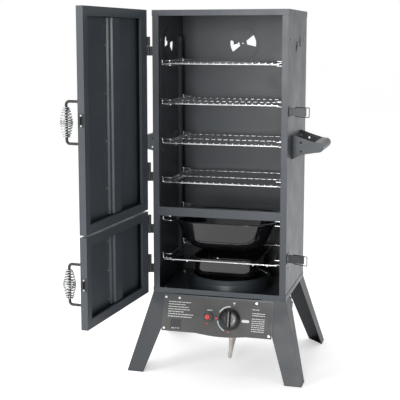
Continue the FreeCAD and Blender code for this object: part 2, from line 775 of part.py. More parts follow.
def leg_bolts():
    """Bolt, head and nut for each hole in the leg tabs."""
    bolts = []
    for index, (x, y) in enumerate(leg_bolt_places()):
        name = "leg_bolt%d" % index
        shank = rod(name + "_shank", "3", "14", (x, y, FLOOR - 9), "+z")
        head = rod(name + "_head", "5.5", "3.4", (x, y, FLOOR + SHEET), "+z")
        nut = doc.addObject("Part::Prism", name + "_nut")
        nut.Polygon = 6
        nut.Circumradius = 5.8
        nut.Height = 4.8
        nut.Placement = Placement(Vector(x, y, FLOOR - size("leg_sheet") - 4.8), Rotation())
        bolts.append(fuse(name, [shank, head, nut]))
    keep("leg_bolts", group("leg_bolts", bolts))


# ---------------------------------------------------------- control panel

SLOPE_LONG = math.hypot(size("leg_height"), size("leg_end_spread"))
SLOPE_SINE = size("leg_end_spread") / SLOPE_LONG
SLOPE_COSINE = size("leg_height") / SLOPE_LONG
SLOPE_DEGREES = math.degrees(math.atan2(SLOPE_SINE, SLOPE_COSINE))
SLOPE_TURN = Rotation(Vector(1, 0, 0), math.degrees(math.atan2(SLOPE_COSINE, SLOPE_SINE)))
PANEL_SHEET = 1.2
PANEL_FACE = PANEL_SHEET + 0.1
PLATE_FACE = PANEL_FACE + size("plate_thick")


def on_slope(across, down, out):
    """Placement on the legs' sloping front plane: its Z points out of the panel."""
    y = -down * SLOPE_SINE - out * SLOPE_COSINE
    z = FLOOR - down * SLOPE_COSINE + out * SLOPE_SINE
    return Placement(Vector(across, y, z), SLOPE_TURN)


def panel_outline(body, name, half, high, low):
    """Panel with a shallow bulge in its lower edge, under the knob."""
    bulge_left, bulge_right, bulge_deep = -62, 92, 6
    corners = [("-" + half, "-(%s)" % high), ("-" + half, "-(%s)" % low)]
    steps = 8
    for step in range(steps + 1):
        across = bulge_left + (bulge_right - bulge_left) * step / steps
        drop = bulge_deep * math.sin(math.pi * step / steps)
        corners.append(("%.3f" % across, "-(%s) - %.3f" % (low, drop)))
    corners += [(half, "-(%s)" % low), (half, "-(%s)" % high)]
    return outline(body, name, corners)


def panel_screw_places():
    half = size("plate_half") - 5
    high, low = size("plate_top") + 4.5, size("panel_top") + size("panel_tall") - 8
    return [(-half, high), (-half + 42, high), (half - 42, high), (-half, low), (half, low)]


def control_panel():
    """Sheet across the front legs that carries the controls, folded back under the floor pan."""
    name = "control_panel"
    body = new_body(name + "_sheet")
    edge = panel_outline(body, name + "_edge", "panel_half", "panel_top", "panel_top + panel_tall")
    pad(body, edge, "sheet")
    holes = [("knob_across", "knob_down", "stem_radius + 3"), ("-igniter_across", "igniter_down", "9.3")]
    for index, (across, down, radius) in enumerate(holes):
        hole = circle(body, "%s_hole%d" % (name, index), radius, "sheet", (across, "-(%s)" % down))
        pocket(body, hole, "2 * sheet")
    for index, (across, down) in enumerate(panel_screw_places()):
        hole = circle(body, "%s_screw%d" % (name, index), "screw_radius + running_gap", "sheet",
                      ("%.3f" % across, "%.3f" % -down))
        pocket(body, hole, "2 * sheet")
    body.Placement = on_slope(0, 0, 0.1)
    fold = box(name + "_fold", (str(2 * FOLD_HALF), "22", "sheet"), (-FOLD_HALF, -1.6, FLOOR - 3.1))
    keep(name, fuse(name, [body, fold]))


def label_plate():
    """Thin printed plate on the control panel."""
    name = "label_plate"
    body = new_body(name)
    edge = panel_outline(body, name + "_edge", "plate_half", "plate_top", "panel_top + panel_tall - 1.5")
    pad(body, edge, "plate_thick")
    holes = [("knob_across", "knob_down", "stem_radius + 5"), ("-igniter_across", "igniter_down", "9.3")]
    for index, (across, down, radius) in enumerate(holes):
        hole = circle(body, "%s_hole%d" % (name, index), radius, "plate_thick", (across, "-(%s)" % down))
        pocket(body, hole, "2 * plate_thick")
    for index, (across, down) in enumerate(panel_screw_places()):
        hole = circle(body, "%s_screw%d" % (name, index), "screw_radius + running_gap", "plate_thick",
                      ("%.3f" % across, "%.3f" % -down))
        pocket(body, hole, "2 * plate_thick")
    body.Placement = on_slope(0, 0, PANEL_FACE)
    keep(name, body)


def sheet_screws():
    """Every sheet metal screw of the cabinet, all of one size."""
    screws = [screw("screw%d" % index, start, along, length)
              for index, (start, along, length) in enumerate(SCREWS)]
    for index, (across, down) in enumerate(panel_screw_places()):
        item = screw("panel_screw%d" % index, (0, 0, 0), "-z", "8")
        item.Placement = on_slope(across, down, PLATE_FACE)
        screws.append(item)
    keep("sheet_screws", group("sheet_screws", screws))


def control_knob():
    """Round knob with a skirt and a grip bar across its face."""
    name = "control_knob"
    body = new_body(name)
    pad(body, circle(body, name + "_skirt", "knob_radius"), "knob_tall / 3")
    pad(body, circle(body, name + "_drum", "knob_radius - 4", "knob_tall / 3 - 0.5"), "knob_tall / 4 + 0.5")
    grip = rectangle(body, name + "_grip", "-8", "-knob_radius + 4", "8", "knob_radius - 4", "knob_tall / 3")
    pad(body, grip, "knob_tall * 2 / 3")
    pocket(body, circle(body, name + "_bore", "stem_radius + running_gap", "knob_tall / 2"), "knob_tall")
    body.Placement = on_slope(size("knob_across"), size("knob_down"), PLATE_FACE + KNOB_FREE)
    keep(name, body)


def gas_valve():
    """Valve body behind the panel, its inlet boss below and outlet boss behind."""
    name = "gas_valve"
    across, down = size("knob_across"), size("knob_down")
    block = box(name + "_block", ("34", "36", "30"), (-17, -18, -34))
    neck = rod(name + "_neck", "11", "5", (0, 0, -5), "+z")
    inlet = rod(name + "_inlet", "8", str(INLET_LONG), INLET_START, "+z")
    inlet.Placement = Placement(Vector(*INLET_START), Rotation(Vector(1, 0, 0), 90 + SLOPE_DEGREES))
    outlet = rod(name + "_outlet", "6", "14", (0, 0, -VALVE_REACH), "+z")
    bore = rod(name + "_bore", "stem_radius + running_gap", "30", (0, 0, -22), "+z")
    item = cut(name, fuse(name + "_casting", [block, neck, inlet, outlet]), [bore])
    item.Placement = on_slope(across, down, 0)
    keep(name, item)
    stem = rod("valve_stem", "stem_radius", "32", (0, 0, 0), "+z")
    stem.Placement = on_slope(across, down, -15)
    keep("valve_stem", stem)


def igniter():
    """Igniter barrel through the panel, its bezel, and the button that slides in it."""
    name = "igniter_body"
    across, down = -size("igniter_across"), size("igniter_down")
    barrel = rod(name + "_barrel", "9", "45", (0, 0, -40), "+z")
    bezel = rod(name + "_bezel", "igniter_radius", "bezel_tall", (0, 0, PLATE_FACE + 0.05), "+z")
    bore = rod(name + "_bore", "button_radius + running_gap", "bezel_tall + 26", (0, 0, -16), "+z")
    item = cut(name, fuse(name + "_whole", [barrel, bezel]), [bore])
    item.Placement = on_slope(across, down, 0)
    keep(name, item)
    button = rod("igniter_button", "button_radius", "bezel_tall + 15", (0, 0, 0), "+z")
    button.Placement = on_slope(across, down, -5)
    keep("igniter_button", button)


# ----------------------------------------------------- burner, gas line

def venturi_tube(name, radius):
    """The burner's inlet tube: from the valve's outlet, up, and into the side of the drum."""
    across, height = size("knob_across"), FLOOR + BURNER_LOW + 10
    start = on_slope(across, size("knob_down"), -VALVE_REACH - 1).Base
    corner = on_slope(across, size("knob_down"), -VALVE_REACH - 23).Base
    route = [start, corner, (across, 60, height), (across / 2, MIDDLE - size("burner_radius") + 6, height)]
    return wire_solid(name, [(route, [14, 26])], radius)


def burner():
    """Pressed burner drum with a smaller cap and a venturi tube to the valve."""
    name = "burner"
    body = new_body(name + "_head")
    pad(body, circle(body, name + "_drum", "burner_radius"), "20")
    pad(body, circle(body, name + "_cap", "burner_radius - 14", "20"), "6")
    body.Placement = Placement(Vector(0, MIDDLE, FLOOR + BURNER_LOW), Rotation())
    keep(name, fuse(name, [body, venturi_tube(name + "_venturi", VENTURI_RADIUS)]))


def burner_bracket():
    """Round housing that holds the burner and closes the opening from below."""
    name = "burner_bracket"
    tall = -BURNER_LOW + HOUSING_SHEET - 0.05
    body = new_body(name + "_housing")
    inner, outer, flange = "burner_hole + 12", "burner_hole + 14", "burner_hole + 19"
    profile = [("0", "0"), (outer, "0"), (outer, "%g" % (tall - 2)), (flange, "%g" % (tall - 2)),
               (flange, "%g" % tall), (inner, "%g" % tall), (inner, "%g" % HOUSING_SHEET),
               ("0", "%g" % HOUSING_SHEET)]
    revolve(body, outline(body, name + "_profile", profile))
    body.Placement = Placement(Vector(0, MIDDLE, FLOOR + BURNER_LOW - HOUSING_SHEET), TURNS["-y"])
    keep(name, cut(name, body, [venturi_tube(name + "_port", VENTURI_RADIUS + 0.5)]))


def ignition_electrode():
    """Insulator standing in the housing, and a thin rod that leans over the burner."""
    name = "ignition_electrode"
    across, along = ELECTRODE_FOOT
    root = FLOOR + BURNER_LOW + 0.05
    ceramic = rod(name + "_ceramic", "4", "40", (across, along, root), "+z")
    bends = [(across, along, root + 36), (across, along, FLOOR + 25.5), (87, along, FLOOR + 37.3),
             (60, along - 8, FLOOR + 36.8), (44, along - 17, FLOOR + 32)]
    tip = wire_solid(name + "_tip", [(bends, [4, 6, 6])], 1.3)
    keep(name, fuse(name, [ceramic, tip]))


# Route of the gas hose, from the valve's ferrule round its low loop to the regulator.
HOSE_ROUTE = [
    (40, -3.66, 104), (40, -3.66, 78), (34, 9, 50), (27, 34, 34), (22, 62, 36),
    (22, 87, 58), (31, 106, 97), (52, 128, 138), (84, 151, 159), (118, 170, 163),
]
FERRULE_PROFILE = [(8, 11), (6.6, 3), (9.5, 10.7)]
FERRULE_LONG = sum(length for radius, length in FERRULE_PROFILE)


def hose_radii():
    """Each bend's radius: 0.45 of its shorter run over the tangent of half its turn."""
    points = [Vector(*point) for point in HOSE_ROUTE]
    radii = []
    for index in range(1, len(points) - 1):
        inward, outward, turn = corner_turn(points, index)
        shorter = min((points[index] - points[index - 1]).Length, (points[index + 1] - points[index]).Length)
        radii.append(0.45 * shorter / math.tan(turn / 2))
    return radii


def gas_hose():
    """The hose as a plain tube, with its volume compared with section times length."""
    path = bent_path(HOSE_ROUTE, hose_radii())
    item = doc.addObject("Part::Feature", "gas_hose")
    item.Shape = swept(path, size("hose_radius"))
    expected = math.pi * size("hose_radius") ** 2 * path.Length
    print("hose length %.1f, radii %s" % (path.Length, [round(radius, 1) for radius in hose_radii()]))
    print("hose volume ratio %.4f" % (item.Shape.Volume / expected))
    keep("gas_hose", item)


def turned_along(name, start, heading, radii):
    """Stacked discs along a heading: each entry is a radius and a length."""
    pieces = []
    reach = 0
    for index, (radius, length) in enumerate(radii):
        disc = doc.addObject("Part::Cylinder", "%s_disc%d" % (name, index))
        disc.Radius = radius
        disc.Height = length
        disc.Placement = Placement(Vector(0, 0, reach), Rotation())
        pieces.append(disc)
        reach += length
    item = fuse(name, pieces) if len(pieces) > 1 else pieces[0]
    item.Placement = Placement(start, Rotation(Vector(0, 0, 1), heading))
    return item


def hose_ferrules():
    """Crimped brass ferrule on each end of the hose."""
    first = Vector(*HOSE_ROUTE[0])
    last, before = Vector(*HOSE_ROUTE[-1]), Vector(*HOSE_ROUTE[-2])
    ferrules = [turned_along("valve_ferrule", first, Vector(0, 0, 1), FERRULE_PROFILE),
                turned_along("regulator_ferrule", last, last - before, FERRULE_PROFILE)]
    keep("hose_ferrules", group("hose_ferrules", ferrules))


def regulator():
    """Regulator hung under the floor pan: body, domed cover, vent and inlet boss."""
    name = "regulator"
    last, before = Vector(*HOSE_ROUTE[-1]), Vector(*HOSE_ROUTE[-2])
    heading = (last - before).normalize()
    mouth = last + heading * FERRULE_LONG
    centre = mouth + heading * 30
    outlet = turned_along(name + "_outlet", mouth, heading, [(8, 20)])
    lower = rod(name + "_lower", "24", "16", (centre.x, centre.y, centre.z - 12), "+z")
    cover = rod(name + "_cover", "20", "14", (centre.x, centre.y, centre.z + 4), "+z")
    stud_low = centre.z + 18
    stud = rod(name + "_stud", "6", str(FLOOR - stud_low - 0.05), (centre.x, centre.y, stud_low), "+z")
    inlet_start = Vector(centre.x, centre.y + 15, centre.z)
    inlet = turned_along(name + "_inlet", inlet_start, Vector(0, 1, 0), [(9, 24), (11, 14)])
    keep(name, fuse(name, [outlet, lower, cover, stud, inlet]))


# ------------------------------------------------------------------ doors

DOORS = {
    "upper": (FLOOR + size("upper_door_low"), "cabinet_height - upper_door_low"),
    "lower": (FLOOR, "lower_door_tall"),
}
DOOR_TALL = {"upper": size("cabinet_height") - size("upper_door_low"), "lower": size("lower_door_tall")}
DOOR_OUTER = -size("door_gap") - size("door_thick")
SWING = Rotation(Vector(0, 0, 1), -size("door_angle"))
HINGE_HEIGHTS = {"upper": (710, 339), "lower": (181, 60)}
LATCH_HEIGHTS = {"upper": FLOOR + size("upper_latch_high"), "lower": FLOOR + size("lower_latch_high")}


def swung(item):
    """Turn a piece drawn on the closed door to the door's rest angle."""
    swing = Placement(PIN, SWING).multiply(Placement(-PIN, Rotation()))
    item.Placement = swing.multiply(item.Placement)
    return item


def door_shell(which):
    """Door pressed as a pan, open to the cabinet inside a return flange."""
    name = which + "_door_shell"
    low, tall = DOORS[which]
    body = new_body(name + "_blank")
    pad(body, rectangle(body, name + "_face", "0", "0", "cabinet_width", tall), "door_thick")
    hollow = rectangle(body, name + "_hollow", "sheet", "sheet", "cabinet_width - sheet", tall + " - sheet",
                       "door_thick - sheet")
    pocket(body, hollow, "door_thick - 2 * sheet")
    rim = rectangle(body, name + "_rim", "door_hinge_lip - sheet", "door_lip - sheet",
                    "cabinet_width - door_lip + sheet", tall + " - door_lip + sheet")
    pad(body, rim, "door_rim")
    mouth = rectangle(body, name + "_mouth", "door_hinge_lip", "door_lip", "cabinet_width - door_lip",
                      tall + " - door_lip", "door_rim + sheet")
    pocket(body, mouth, "door_rim + 2 * sheet")
    body.Placement = Placement(Vector(-HALF, -size("door_gap"), low), TURNS["-y"])
    tools = []
    for index, (start, along) in enumerate(door_rivet_places(which)):
        tools.append(rod("%s_hole%d" % (name, index), "rivet_hole", "12", start, along))
    drilled = cut(name + "_drilled", body, tools)
    keep(name, swung(drilled))


def door_rivet_places(which):
    """Start and direction of every hole that a rivet fills, on the closed door."""
    low = DOORS[which][0]
    tall = DOOR_TALL[which]
    skin = DOOR_OUTER - CUT_SPARE
    places = []
    rivets = 4 if which == "upper" else 3
    for index in range(rivets):
        height = low + tall * (0.17 + 0.66 * index / (rivets - 1))
        places.append(((RIVET_LINE, skin, height), "+y"))
    for offset in (-13.5, 13.5):
        places.append(((HALF - 6, DOOR_OUTER + 10, LATCH_HEIGHTS[which] + offset), "+x"))
    return places


def door_stiffener(which):
    """Vertical channel on the inner side of the door's skin, with one low and one high step."""
    name = which + "_door_stiffener"
    body = new_body(name + "_blank")
    profile = outline(body, name + "_profile", [(str(x), str(y)) for x, y in STIFFENER_PROFILE])
    pad(body, profile, DOORS[which][1] + " - 2 * door_lip - 3")
    low = DOORS[which][0] + size("door_lip") + 1.5
    body.Placement = Placement(Vector(0, DOOR_OUTER + SHEET, low), Rotation())
    tools = [rod("%s_hole%d" % (name, index), "rivet_hole", "12", start, along)
             for index, (start, along) in enumerate(door_rivet_places(which)) if along == "+y"]
    keep(name, swung(cut(name + "_drilled", body, tools)))


def door_rivets(which):
    """Pop rivets of the stiffener and the strike."""
    name = which + "_door_rivets"
    rivets = []
    for index, (start, along) in enumerate(door_rivet_places(which)):
        label = "%s_%d" % (name, index)
        x, y, z = start
        if along == "+y":
            flat = (x, DOOR_OUTER - 1, z)
            shank = rod(label + "_shank", "rivet_radius", "sheet + 3.5", flat, along)
            head = rod(label + "_head", "1.5 * rivet_radius", "1", (x, DOOR_OUTER + SHEET + 1, z), along)
            tail = rod(label + "_tail", "1.5 * rivet_radius", "1", flat, along)
        else:
            flat = (HALF - SHEET - 1, y, z)
            shank = rod(label + "_shank", "rivet_radius", "sheet + 3.5", flat, along)
            head = rod(label + "_head", "1.5 * rivet_radius", "1", (HALF + STRIKE_SHEET, y, z), along)
            tail = rod(label + "_tail", "1.5 * rivet_radius", "1", flat, along)
        rivets.append(fuse(label, [shank, head, tail]))
    keep(name, swung(group(name, rivets)))


def door_strike(which):
    """Plate on the door's free edge with the lip that the latch wire pulls on."""
    name = which + "_strike"
    centre = LATCH_HEIGHTS[which]
    plate = box(name + "_plate", ("1.5", "15", "34"), (HALF, DOOR_OUTER + 2, centre - 17))
    lip = box(name + "_lip", ("7", "1.5", "20"), (HALF + 0.5, STRIKE_LIP_Y, centre - 10))
    tools = [rod("%s_hole%d" % (name, index), "rivet_hole", "12", start, along)
             for index, (start, along) in enumerate(door_rivet_places(which)) if along == "+x"]
    keep(name, swung(cut(name, fuse(name + "_bent", [plate, lip]), tools)))


def door_handle(which):
    """Bent rod handle on the door's outer face and the spring grip around it."""
    centre = LATCH_HEIGHTS[which] - 8
    across = HALF - 26
    half = size("handle_half")
    reach = DOOR_OUTER - size("handle_reach")
    face = DOOR_OUTER - 0.05
    rod_name = which + "_handle_rod"
    bends = [(across, face, centre - half), (across, reach, centre - half),
             (across, reach, centre + half), (across, face, centre + half)]
    bar = wire_solid(rod_name + "_bar", [(bends, 9)], size("handle_rod"))
    feet = []
    for index, height in enumerate((centre - half, centre + half)):
        feet.append(rod("%s_foot%d" % (rod_name, index), "9", "2.5", (across, face - 2.5, height), "+y"))
    keep(rod_name, swung(fuse(rod_name, [bar] + feet)))

    grip_name = which + "_spring_grip"
    body = new_body(grip_name)
    grip_half = "(handle_half - 14)"
    stations = 6
    outer, inner = [], []
    for step in range(stations + 1):
        share = -1 + 2 * step / stations
        swell = "%.4f" % (1 - share * share)
        radius = "grip_end_radius + (grip_radius - grip_end_radius) * %s" % swell
        outer.append((radius, "%s * %.4f" % (grip_half, share)))
        inner.append((radius + " - grip_wall", "%s * %.4f" % (grip_half, share)))
    profile = outline(body, grip_name + "_profile", outer + inner[::-1])
    revolve(body, profile)
    body.Placement = Placement(Vector(across, reach, centre), TURNS["-y"])
    keep(grip_name, swung(body))


# ------------------------------------------------------------------ hinges

def hinge_leaves(name, heights, on_door):
    """Lift-off hinge halves: leaf, arm and knuckle; the cabinet's half carries the pin."""
    leaves = []
    knuckle = (size("hinge_tall") - 2) / 2
    wall_x = -HALF if on_door else -WALL
    for index, height in enumerate(heights):
        label = "%s_%d" % (name, index)
        low = FLOOR + height + (knuckle + 1 if on_door else 0)
        leaf_y = -size("door_gap") - size("door_thick") + 2 if on_door else 1.5
        leaf_deep = "door_thick - 2.5" if on_door else "28"
        leaf = box(label + "_leaf", ("1.5", leaf_deep, "hinge_tall / 2 - 1"), (wall_x - LEAF, leaf_y, low))
        arm = box(label + "_arm", ("pin_out - 1", "1.5", "hinge_tall / 2 - 1"), (PIN.x + 0.5, -0.75, low))
        link_thick, link_y = ("1.5", -2.5) if on_door else ("1.5 + sheet", 0)
        arm_link = box(label + "_link", (link_thick, "3.5", "hinge_tall / 2 - 1"),
                       (-HALF - LEAF, link_y, low))
        barrel = rod(label + "_barrel", "knuckle_radius", "hinge_tall / 2 - 1", (PIN.x, 0, low), "+z")
        if on_door:
            bore = rod(label + "_bore", "pin_radius + running_gap", "hinge_tall", (PIN.x, 0, low - 5), "+z")
            leaves.append(cut(label, fuse(label + "_whole", [leaf, arm, arm_link, barrel]), [bore]))
        else:
            pin = rod(label + "_pin", "pin_radius", "hinge_tall - 6", (PIN.x, 0, low + 2), "+z")
            leaves.append(fuse(label, [leaf, arm, arm_link, barrel, pin]))
    item = group(name, leaves)
    keep(name, swung(item) if on_door else item)


# ------------------------------------------------------------------ latches

def latch_bases():
    """Base plate with two ears and the lever's pivot pin, on the right side wall."""
    bases = []
    for which in ("upper", "lower"):
        centre = LATCH_HEIGHTS[which]
        name = which + "_latch_base"
        pieces = [box(name + "_plate", ("1.5", "34", "28"), (WALL, 11, centre - 14))]
        for index, low in enumerate((-9, 7.5)):
            pieces.append(box("%s_ear%d" % (name, index), ("6.2", "7.2", "1.5"),
                              (WALL, PIVOT_Y - 3.6, centre + low)))
            pieces.append(rod("%s_eye%d" % (name, index), "3.6", "1.5",
                              (PIVOT_X, PIVOT_Y, centre + low), "+z"))
        pieces.append(rod(name + "_pin", "1.5", "24", (PIVOT_X, PIVOT_Y, centre - 12), "+z"))
        bases.append(fuse(name, pieces))
    keep("latch_bases", group("latch_bases", bases))


def opened(item, point, angle):
    """Turn a piece drawn latched about a vertical pivot."""
    turn = Placement(point, Rotation(Vector(0, 0, 1), angle)).multiply(Placement(-point, Rotation()))
    item.Placement = turn.multiply(item.Placement)
    return item


def latch_lever(which):
    """Channel lever with flanges that hang on the base's pin and hold the bail."""
    name = which + "_latch_lever"
    centre = LATCH_HEIGHTS[which]
    pieces = [box(name + "_face", ("1.2", "47", "22"), (PIVOT_X + 4, PIVOT_Y - 3, centre - 11))]
    for index, low in enumerate((-11, 9.5)):
        pieces.append(box("%s_flange%d" % (name, index), ("8.7", "33", "1.5"),
                          (PIVOT_X - 3.5, PIVOT_Y - 3, centre + low)))
    pieces.append(box(name + "_lip", ("4", "1.5", "22"), (PIVOT_X + 4, PIVOT_Y + 42.5, centre - 11)))
    tools = [rod(name + "_pivot", "1.5 + running_gap", "30", (PIVOT_X, PIVOT_Y, centre - 15), "+z"),
             rod(name + "_link", "1.25 + running_gap", "30", (LINK_X, LINK_Y, centre - 15), "+z")]
    item = cut(name, fuse(name + "_bent", pieces), tools)
    keep(name, opened(item, Vector(PIVOT_X, PIVOT_Y, 0), -LEVER_SWING))


def latch_bail(which):
    """Wire loop from the lever to the strike, its ends turned into the flanges."""
    name = which + "_latch_bail"
    centre = LATCH_HEIGHTS[which]
    hook_x, hook_y = HALF + 4.2, STRIKE_LIP_Y - BAIL_RADIUS - 0.3
    arm = 13.5
    points = [(LINK_X, LINK_Y, centre - 9.3), (LINK_X, LINK_Y, centre - arm), (hook_x, hook_y, centre - arm),
              (hook_x, hook_y, centre + arm), (LINK_X, LINK_Y, centre + arm), (LINK_X, LINK_Y, centre + 9.3)]
    item = wire_solid(name, [(points, 2.5)], BAIL_RADIUS)
    opened(item, Vector(LINK_X, LINK_Y, 0), -LEVER_SWING * BAIL_RATIO)
    keep(name, opened(item, Vector(PIVOT_X, PIVOT_Y, 0), -LEVER_SWING))


# ----------------------------------------------------- carry handles, dampers

def nose_arc(radius):
    """Corners around the rounded outer edge of a carry handle, from its top to its underside."""
    steps = 8
    arc = []
    for step in range(steps + 1):
        angle = math.radians(105 - 200 * step / steps)
        across, up = NOSE_X + radius * math.cos(angle), NOSE_Z + radius * math.sin(angle)
        arc.append((round(across, 3), round(up, 3)))
    return arc


def carry_handle(name):
    """Bent sheet handle: two arms and a folded grip between them."""
    sign = side_sign(name)
    body = new_body(name + "_blank")
    arm = [(0, 0), (0, 74), (34, 62), (64, 53)] + nose_arc(NOSE_ROUND) + [(60, 20), (42, 17), (25, 13)]
    grip_inner = [(1.5, -4), (1.5, 80), (64, 80), (66.5, 51)]
    grip_inner += nose_arc(NOSE_ROUND - CARRY_SHEET) + [(60, 21.5), (58, -4)]
    pad(body, outline(body, name + "_arm", [(str(x), str(y)) for x, y in arm]), "carry_long")
    inner = outline(body, name + "_inner", [(str(x), str(y)) for x, y in grip_inner], "carry_long - 1.5")
    pocket(body, inner, "carry_long - 3")
    pocket(body, rectangle(body, name + "_gap", "-2", "-2", "3", "76", "carry_long - 18"), "carry_long - 36")
    for index, (across, up) in enumerate((("26", "50"), ("26", "24"))):
        hole = circle(body, "%s_hole%d" % (name, index), "3", "carry_long", (across, up))
        pocket(body, hole, "carry_long")
    tools = [screw_hole("%s_screw%d" % (name, index), start, along)
             for index, (start, along, length) in enumerate(side_screws(sign)[4:8])]
    front = size("carry_front")
    low = FLOOR + size("carry_low")
    if sign > 0:
        body.Placement = Placement(Vector(WALL, front + size("carry_long"), low), TURNS["-y"])
    else:
        turn = Rotation(Vector(0, 0, 1), 180).multiply(TURNS["-y"])
        body.Placement = Placement(Vector(-WALL, front, low), turn)
    keep(name, cut(name + "_drilled", body, tools))


def damper(name, centre, inward):
    """Disc inside a wall, with the wall's two openings and a bent tab to turn it by."""
    step = TURNS[inward].multVec(Vector(0, 0, 1))
    face = Vector(*centre) + step * size("damper_gap")
    disc = rod(name + "_disc", "damper_radius", "damper_sheet", face, inward)
    vent = vent_sectors(name + "_vent", face - step, inward, "4")
    bore = rod(name + "_bore", "screw_radius + running_gap", "8", face - step * 3, inward)
    turn = TURNS[inward].multiply(Rotation(Vector(0, 0, 1), 180 + VENT_TURN[inward]))
    pieces = [cut(name + "_plate", disc, [vent, bore])]
    for label, wide, tall in (("foot", "tab_wide", "damper_sheet"), ("tab", "damper_sheet", "tab_tall")):
        reach = turn.multVec(Vector(TAB_NEAR, TAB_EDGE - size(wide), 0))
        piece = box("%s_%s" % (name, label), ("tab_long", wide, tall), face + reach)
        piece.Placement = Placement(face + reach, turn)
        pieces.append(piece)
    keep(name, fuse(name + "_bent", pieces))


def name_badge():
    """Blank plate on the upper door's outer face."""
    name = "door_badge"
    body = new_body(name)
    pad(body, rectangle(body, name + "_edge", "0", "0", "140", "34"), "1.6")
    round_edges(body, upright_edges(body.Tip), "8")
    body.Placement = Placement(Vector(-70, DOOR_OUTER - 0.05, TOP - 92), TURNS["-y"])
    keep(name, swung(body))


# ------------------------------------------------------------------ build

def build():
    for name in ("left_side_panel", "right_side_panel"):
        side_panel(name)
    back_panel()
    top_panel()
    floor_pan()
    middle_rail()
    support_strips()
    rail_wires()
    for number, level in enumerate(reversed(LEVELS[2:]), start=1):
        cooking_rack("cooking_rack_%d" % number, level)
    pan_carrier()
    water_bowl()
    chip_pan()
    for label, side, end in LEG_CORNERS:
        leg(label, side, end)
    leg_bolts()
    control_panel()
    label_plate()
    control_knob()
    gas_valve()
    igniter()
    burner()
    burner_bracket()
    ignition_electrode()
    hose_ferrules()
    gas_hose()
    regulator()
    for which in ("upper", "lower"):
        door_shell(which)
        door_stiffener(which)
        door_rivets(which)
        door_strike(which)
        door_handle(which)
        hinge_leaves(which + "_door_hinge_leaves", HINGE_HEIGHTS[which], True)
        latch_lever(which)
        latch_bail(which)
    name_badge()
    hinge_leaves("cabinet_hinge_leaves", HINGE_HEIGHTS["upper"] + HINGE_HEIGHTS["lower"], False)
    latch_bases()
    for name in ("left_carry_handle", "right_carry_handle"):
        carry_handle(name)
    high = FLOOR + size("damper_high")
    damper("left_damper", (-INSIDE, MIDDLE, high), "+x")
    damper("right_damper", (INSIDE, MIDDLE, high), "-x")
    damper("back_damper", (0, DEEP - 2 * SHEET, high), "-y")
    sheet_screws()


def check_and_export():
    """Refuse a failed object or a bad shape, then write one STEP file for each sub-part."""
    doc.recompute()
    failed = [item.Label for item in doc.Objects if "Invalid" in item.State or "Error" in item.State]
    if failed:
        raise RuntimeError("failed objects: " + ", ".join(failed))
    os.makedirs("parts", exist_ok=True)
    for item in SUBPARTS:
        if item.Shape.isNull() or not item.Shape.isValid():
            raise RuntimeError("%s has a bad shape" % item.Label)
    for item in SUBPARTS:
        item.Shape.exportStep(os.path.join("parts", item.Label + ".step"))
    print("wrote %d sub-parts" % len(SUBPARTS))


build()
check_and_export()
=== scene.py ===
import json
import math

import bmesh
import bpy
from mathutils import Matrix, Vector


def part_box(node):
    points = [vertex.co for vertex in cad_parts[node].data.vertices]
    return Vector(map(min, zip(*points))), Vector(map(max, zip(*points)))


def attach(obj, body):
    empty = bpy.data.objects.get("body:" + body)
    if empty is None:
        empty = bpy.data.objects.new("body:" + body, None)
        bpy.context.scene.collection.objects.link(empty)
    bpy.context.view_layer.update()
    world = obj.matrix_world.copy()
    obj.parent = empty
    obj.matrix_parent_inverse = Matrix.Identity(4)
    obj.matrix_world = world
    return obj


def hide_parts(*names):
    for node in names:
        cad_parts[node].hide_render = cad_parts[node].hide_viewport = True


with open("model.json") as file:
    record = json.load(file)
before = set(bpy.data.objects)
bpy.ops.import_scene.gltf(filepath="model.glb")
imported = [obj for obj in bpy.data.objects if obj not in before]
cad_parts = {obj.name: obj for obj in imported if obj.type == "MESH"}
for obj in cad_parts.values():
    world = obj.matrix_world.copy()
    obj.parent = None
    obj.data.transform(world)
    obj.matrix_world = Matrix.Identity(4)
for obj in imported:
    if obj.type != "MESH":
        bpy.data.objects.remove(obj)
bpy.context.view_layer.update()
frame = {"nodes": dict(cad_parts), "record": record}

SCENE = bpy.context.scene
NODES = frame["nodes"]
MM = 0.001


# ---------------------------------------------------------------- node helpers

